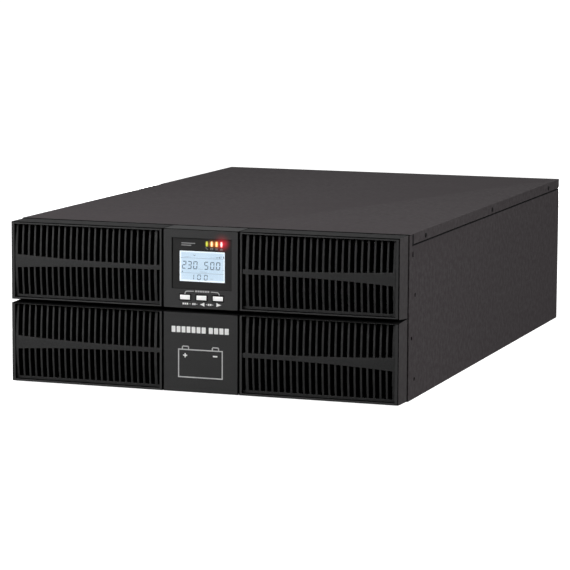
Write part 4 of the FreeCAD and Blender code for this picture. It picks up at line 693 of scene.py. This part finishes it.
# printing round the keys
prints = [(stroke([(-17.6, 105.8), (-17.3, 107.4), (-16.4, 108.5), (-15.0, 108.9), (-7.6, 109.2)], 0.8), []),
          (stroke([(11.6, 109.2), (18.6, 108.9), (19.9, 108.5), (20.7, 107.4), (21.0, 105.9)], 0.8), [])]
for i in range(6):
    x = -6.0 + 2.75 * i
    prints.append((bar(x, x + 2.0, 108.3, 110.1), []))
flat("key_bracket", prints, FACE - 0.06, FACE + 0.05, M["mid_print"], "display_module")
low = [([(-0.8, 95.5), (4.4, 97.6), (4.4, 93.5)], []), ([(23.2, 95.8), (17.9, 97.9), (17.9, 93.8)], [])]
for x0, x1 in ((-20.3, -18.6), (-18.0, -16.2), (-15.6, -13.9), (-9.3, -7.7), (-7.1, -5.6), (8.2, 10.0), (10.5, 12.3)):
    low.append((bar(x0, x1, 94.6, 96.5), []))
for x0, x1 in ((-12.3, -11.3), (-4.6, -3.6), (6.2, 7.2), (13.2, 14.2)):
    low.append((bar(x0, x1, 95.2, 95.8), []))
flat("key_marks", low, FACE - 0.06, FACE + 0.05, M["white_print"], "display_module")

# printing on the battery panel: a row of plain bars and a battery outline
rowbars = []
x = -32.6
for w, gap in ((4.3, 1.35), (4.3, 1.35), (4.3, 1.35), (4.3, 1.35), (4.3, 1.35), (4.3, 1.35), (4.6, 3.4), (4.6, 1.35), (4.6, 1.35), (4.6, 1.35), (4.6, 0)):
    rowbars.append((round_rect(x, x + w, 64.7, 71.2, 0.5, 3), []))
    x += w + gap
flat("panel_bars", rowbars, FACE - 0.06, FACE + 0.05, M["white_print"], "lower_centre_front")
outline = [(bar(-25.3, 25.1, 16.7, 47.3), [bar(-24.1, 23.9, 17.9, 46.1)])]
for a, b in ((-21.0, -12.9), (12.8, 20.9)):
    outline.append((stroke([(a + 0.5, 47.2), (a + 0.6, 49.6), (a + 1.3, 50.2), (b - 1.3, 50.2), (b - 0.6, 49.6), (b - 0.5, 47.2)], 1.15), []))
flat("panel_battery", outline, FACE - 0.06, FACE + 0.05, M["mid_print"], "lower_centre_front")
flat("panel_signs", [([(-17.9, 38.2), (-16.7, 38.2), (-16.7, 39.9), (-15.0, 39.9), (-15.0, 41.1), (-16.7, 41.1), (-16.7, 42.8), (-17.9, 42.8), (-17.9, 41.1), (-19.6, 41.1), (-19.6, 39.9), (-17.9, 39.9)], []),
                     (bar(14.0, 19.0, 40.1, 41.7), [])], FACE - 0.06, FACE + 0.05, M["white_print"], "lower_centre_front")


# ------------------------------------------------------------------ steel case
# painted shade on the tub's inner faces; its cut front edge at the sides keeps the case paint
def tub_choice(c, n):
    if n.y < -0.9 and c.y < FRONT + 0.1 and abs(c.x) > HALF - 1.3:
        return 2
    if abs(c.x) > HALF - 0.05 or c.z < 0.05 or n.z < -0.9 and c.z < 0.05:
        return 0
    return 1


# painted shade on the cover's front edge and on its inner faces
def cover_choice(c, n):
    if n.y < -0.9 and c.y < FRONT + 0.1:
        return 1
    if c.z > TOP - 0.6 or abs(c.x) > HALF - 0.6 and abs(n.x) > 0.5 and (n.x > 0) == (c.x > 0):
        return 0
    return 1


refine("chassis_tub", 0.25, 2, [M["case_paint"], M["shade"], M["case_paint"]], tub_choice, longer=8.0)
refine("top_cover", 0.5, 3, [M["case_paint"], M["shade"]], cover_choice, longer=8.0)
refine("rear_panel", 0.2, 1, longer=8.0)
# painted shade: dark sheets behind the bracket holes and dark strips along the cover's flange, standing in for the
# shade in the holes and in the flange gap
bm = bmesh.new()
for sx in (-1, 1):
    a, b = sorted((sx * 217.55, sx * 217.72))
    box_bm(a, b, FRONT + 3.0, FRONT + 30.0, 12.0, 161.0, bm=bm)
    a, b = sorted((sx * 218.6, sx * 219.05))
    box_bm(a, b, FRONT + 9.6, FRONT + 13.6, 162.6, TOP - 1.6, bm=bm)
    box_bm(a, b, FRONT + 9.6, REAR - 2.0, 162.2, 163.0, bm=bm)
add_object("side_shade", mesh_from("side_shade", bm), "root", [M["painted_recess_shade"]])


# screws: a dark cross in every head, painted shade standing in for a cross recess
def islands(node):
    bm = cad_bm(node)
    seen, out = set(), []
    for v in bm.verts:
        if v.index in seen:
            continue
        stack, part = [v], []
        seen.add(v.index)
        while stack:
            q = stack.pop()
            part.append(q.co.copy())
            for e in q.link_edges:
                o = e.other_vert(q)
                if o.index not in seen:
                    seen.add(o.index)
                    stack.append(o)
        lo = Vector((min(c[i] for c in part) for i in range(3))) / MM
        hi = Vector((max(c[i] for c in part) for i in range(3))) / MM
        out.append((lo, hi))
    bm.free()
    return out


def crosses(node):
    bm = bmesh.new()
    for lo, hi in islands(node):
        c = (lo + hi) / 2
        if abs(c.x) > HALF - 6 and c.y < REAR - 12:
            s = 1 if c.x > 0 else -1
            x = hi.x if s > 0 else lo.x
            r = min(hi.y - lo.y, hi.z - lo.z) / 2 * 0.62
            w = r * 0.30
            a, b = sorted((x - s * 0.3, x + s * 0.02))
            box_bm(a, b, c.y - r, c.y + r, c.z - w / 2, c.z + w / 2, bm=bm)
            box_bm(a, b, c.y - w / 2, c.y + w / 2, c.z - r, c.z + r, bm=bm)
        else:
            r = min(hi.x - lo.x, hi.z - lo.z) / 2 * 0.62
            w = r * 0.30
            box_bm(c.x - r, c.x + r, hi.y - 0.3, hi.y + 0.02, c.z - w / 2, c.z + w / 2, bm=bm)
            box_bm(c.x - w / 2, c.x + w / 2, hi.y - 0.3, hi.y + 0.02, c.z - r, c.z + r, bm=bm)
    if len(bm.faces):
        add_object(node + "_recess", mesh_from(node + "_recess", bm), BODY[node], [M["painted_recess_shade"]])


for node in ("cover_screws", "rear_screws"):
    crosses(node)

# ------------------------------------------------------------- camera and stage
AZ, EL, ROLL = math.radians(19.2759), math.radians(7.7171), math.radians(0.2892)
back = Vector((math.sin(AZ) * math.cos(EL), -math.cos(AZ) * math.cos(EL), math.sin(EL)))
cam_data = bpy.data.cameras.new("camera")
cam_data.sensor_width = 36.0
cam_data.lens = 173.499
cam_data.clip_end = 200.0
cam = bpy.data.objects.new("camera", cam_data)
scene.collection.objects.link(cam)
cam.location = Vector((0.012805, -0.108, 0.087461)) + back * 3.10028
cam.rotation_mode = "QUATERNION"
cam.rotation_quaternion = (-back).to_track_quat("-Z", "Y") @ Quaternion((0, 0, 1), ROLL)
scene.camera = cam

fm = bpy.data.meshes.new("floor")
fm.from_pydata([(-60, -60, 0), (60, -60, 0), (60, 60, 0), (-60, 60, 0)], [], [(0, 1, 2, 3)])
floor = bpy.data.objects.new("floor", fm)
scene.collection.objects.link(floor)
fn = Nodes("floor_white")
fp = fn.add("ShaderNodeBsdfPrincipled")
fn.link(fp.outputs["BSDF"], fn.out.inputs["Surface"])
fn.link(fn.mix(fn.ramp(fn.noise(3.0), 0.3, 0.7), (0.80, 0.80, 0.80), (0.82, 0.82, 0.82)), fp.inputs["Base Color"])
fp.inputs["Roughness"].default_value = 0.9
fp.inputs["Specular IOR Level"].default_value = 0.0
fp.inputs["Emission Color"].default_value = (1, 1, 1, 1)
fp.inputs["Emission Strength"].default_value = 0.95
fm.materials.append(fn.m)
floor.visible_glossy = False
floor.visible_diffuse = False

WORLD_LOW, WORLD_HIGH = 0.02, 0.20
world = bpy.data.worlds.new("studio")
scene.world = world
world.use_nodes = True
wt = world.node_tree
wt.nodes.clear()
w_out = wt.nodes.new("ShaderNodeOutputWorld")
w_bg = wt.nodes.new("ShaderNodeBackground")
wt.links.new(w_bg.outputs[0], w_out.inputs[0])
w_path = wt.nodes.new("ShaderNodeLightPath")
w_geo = wt.nodes.new("ShaderNodeTexCoord")
w_sep = wt.nodes.new("ShaderNodeSeparateXYZ")
wt.links.new(w_geo.outputs["Generated"], w_sep.inputs[0])
w_up = wt.nodes.new("ShaderNodeMapRange")
w_up.inputs["From Min"].default_value = -0.15
w_up.inputs["From Max"].default_value = 0.35
w_up.inputs["To Min"].default_value = WORLD_LOW
w_up.inputs["To Max"].default_value = WORLD_HIGH
wt.links.new(w_sep.outputs["Z"], w_up.inputs["Value"])
w_mix = wt.nodes.new("ShaderNodeMix")
wt.links.new(w_path.outputs["Is Camera Ray"], w_mix.inputs[0])
wt.links.new(w_up.outputs["Result"], w_mix.inputs[2])
w_mix.inputs[3].default_value = 1.0
wt.links.new(w_mix.outputs[0], w_bg.inputs[1])
w_bg.inputs[0].default_value = (1.0, 1.0, 1.0, 1.0)


def softbox(name, size, energy, az, el, dist, target=(0, 0, 0.09), colour=(1, 1, 1)):
    d = bpy.data.lights.new(name, "AREA")
    d.shape = "RECTANGLE"
    d.size, d.size_y = size
    d.energy = energy
    d.color = colour
    o = bpy.data.objects.new(name, d)
    scene.collection.objects.link(o)
    a, e = math.radians(az), math.radians(el)
    b = Vector((math.sin(a) * math.cos(e), -math.cos(a) * math.cos(e), math.sin(e)))
    o.location = Vector(target) + b * dist
    o.rotation_mode = "QUATERNION"
    o.rotation_quaternion = (-b).to_track_quat("-Z", "Y")
    return o


softbox("overhead", (3.0, 3.0), 18.0, 60, 68, 2.6)
softbox("rear_fill", (1.5, 0.13), 11.0, 198, 0, 1.6, (-0.05, 0.34, 0.10))
softbox("left_fill", (1.8, 0.13), 6.0, -104, 0, 1.5, (-0.22, 0.08, 0.10))
softbox("front_left", (0.9, 0.8), 10.5, -46, 34, 1.25, (-0.16, -0.30, 0.10))
sd = bpy.data.lights.new("front_spot", "SPOT")
sd.energy = 46.0
sd.spot_size = math.radians(36)
sd.spot_blend = 1.0
sd.shadow_soft_size = 0.22
so = bpy.data.objects.new("front_spot", sd)
scene.collection.objects.link(so)
so.location = (-0.86, -1.52, 0.72)
so.rotation_mode = "QUATERNION"
so.rotation_quaternion = (Vector((-0.05, -0.34, 0.10)) - Vector(so.location)).to_track_quat("-Z", "Y")
softbox("right", (1.5, 1.4), 30.0, 80, 26, 2.1, (0.2, -0.30, 0.10))
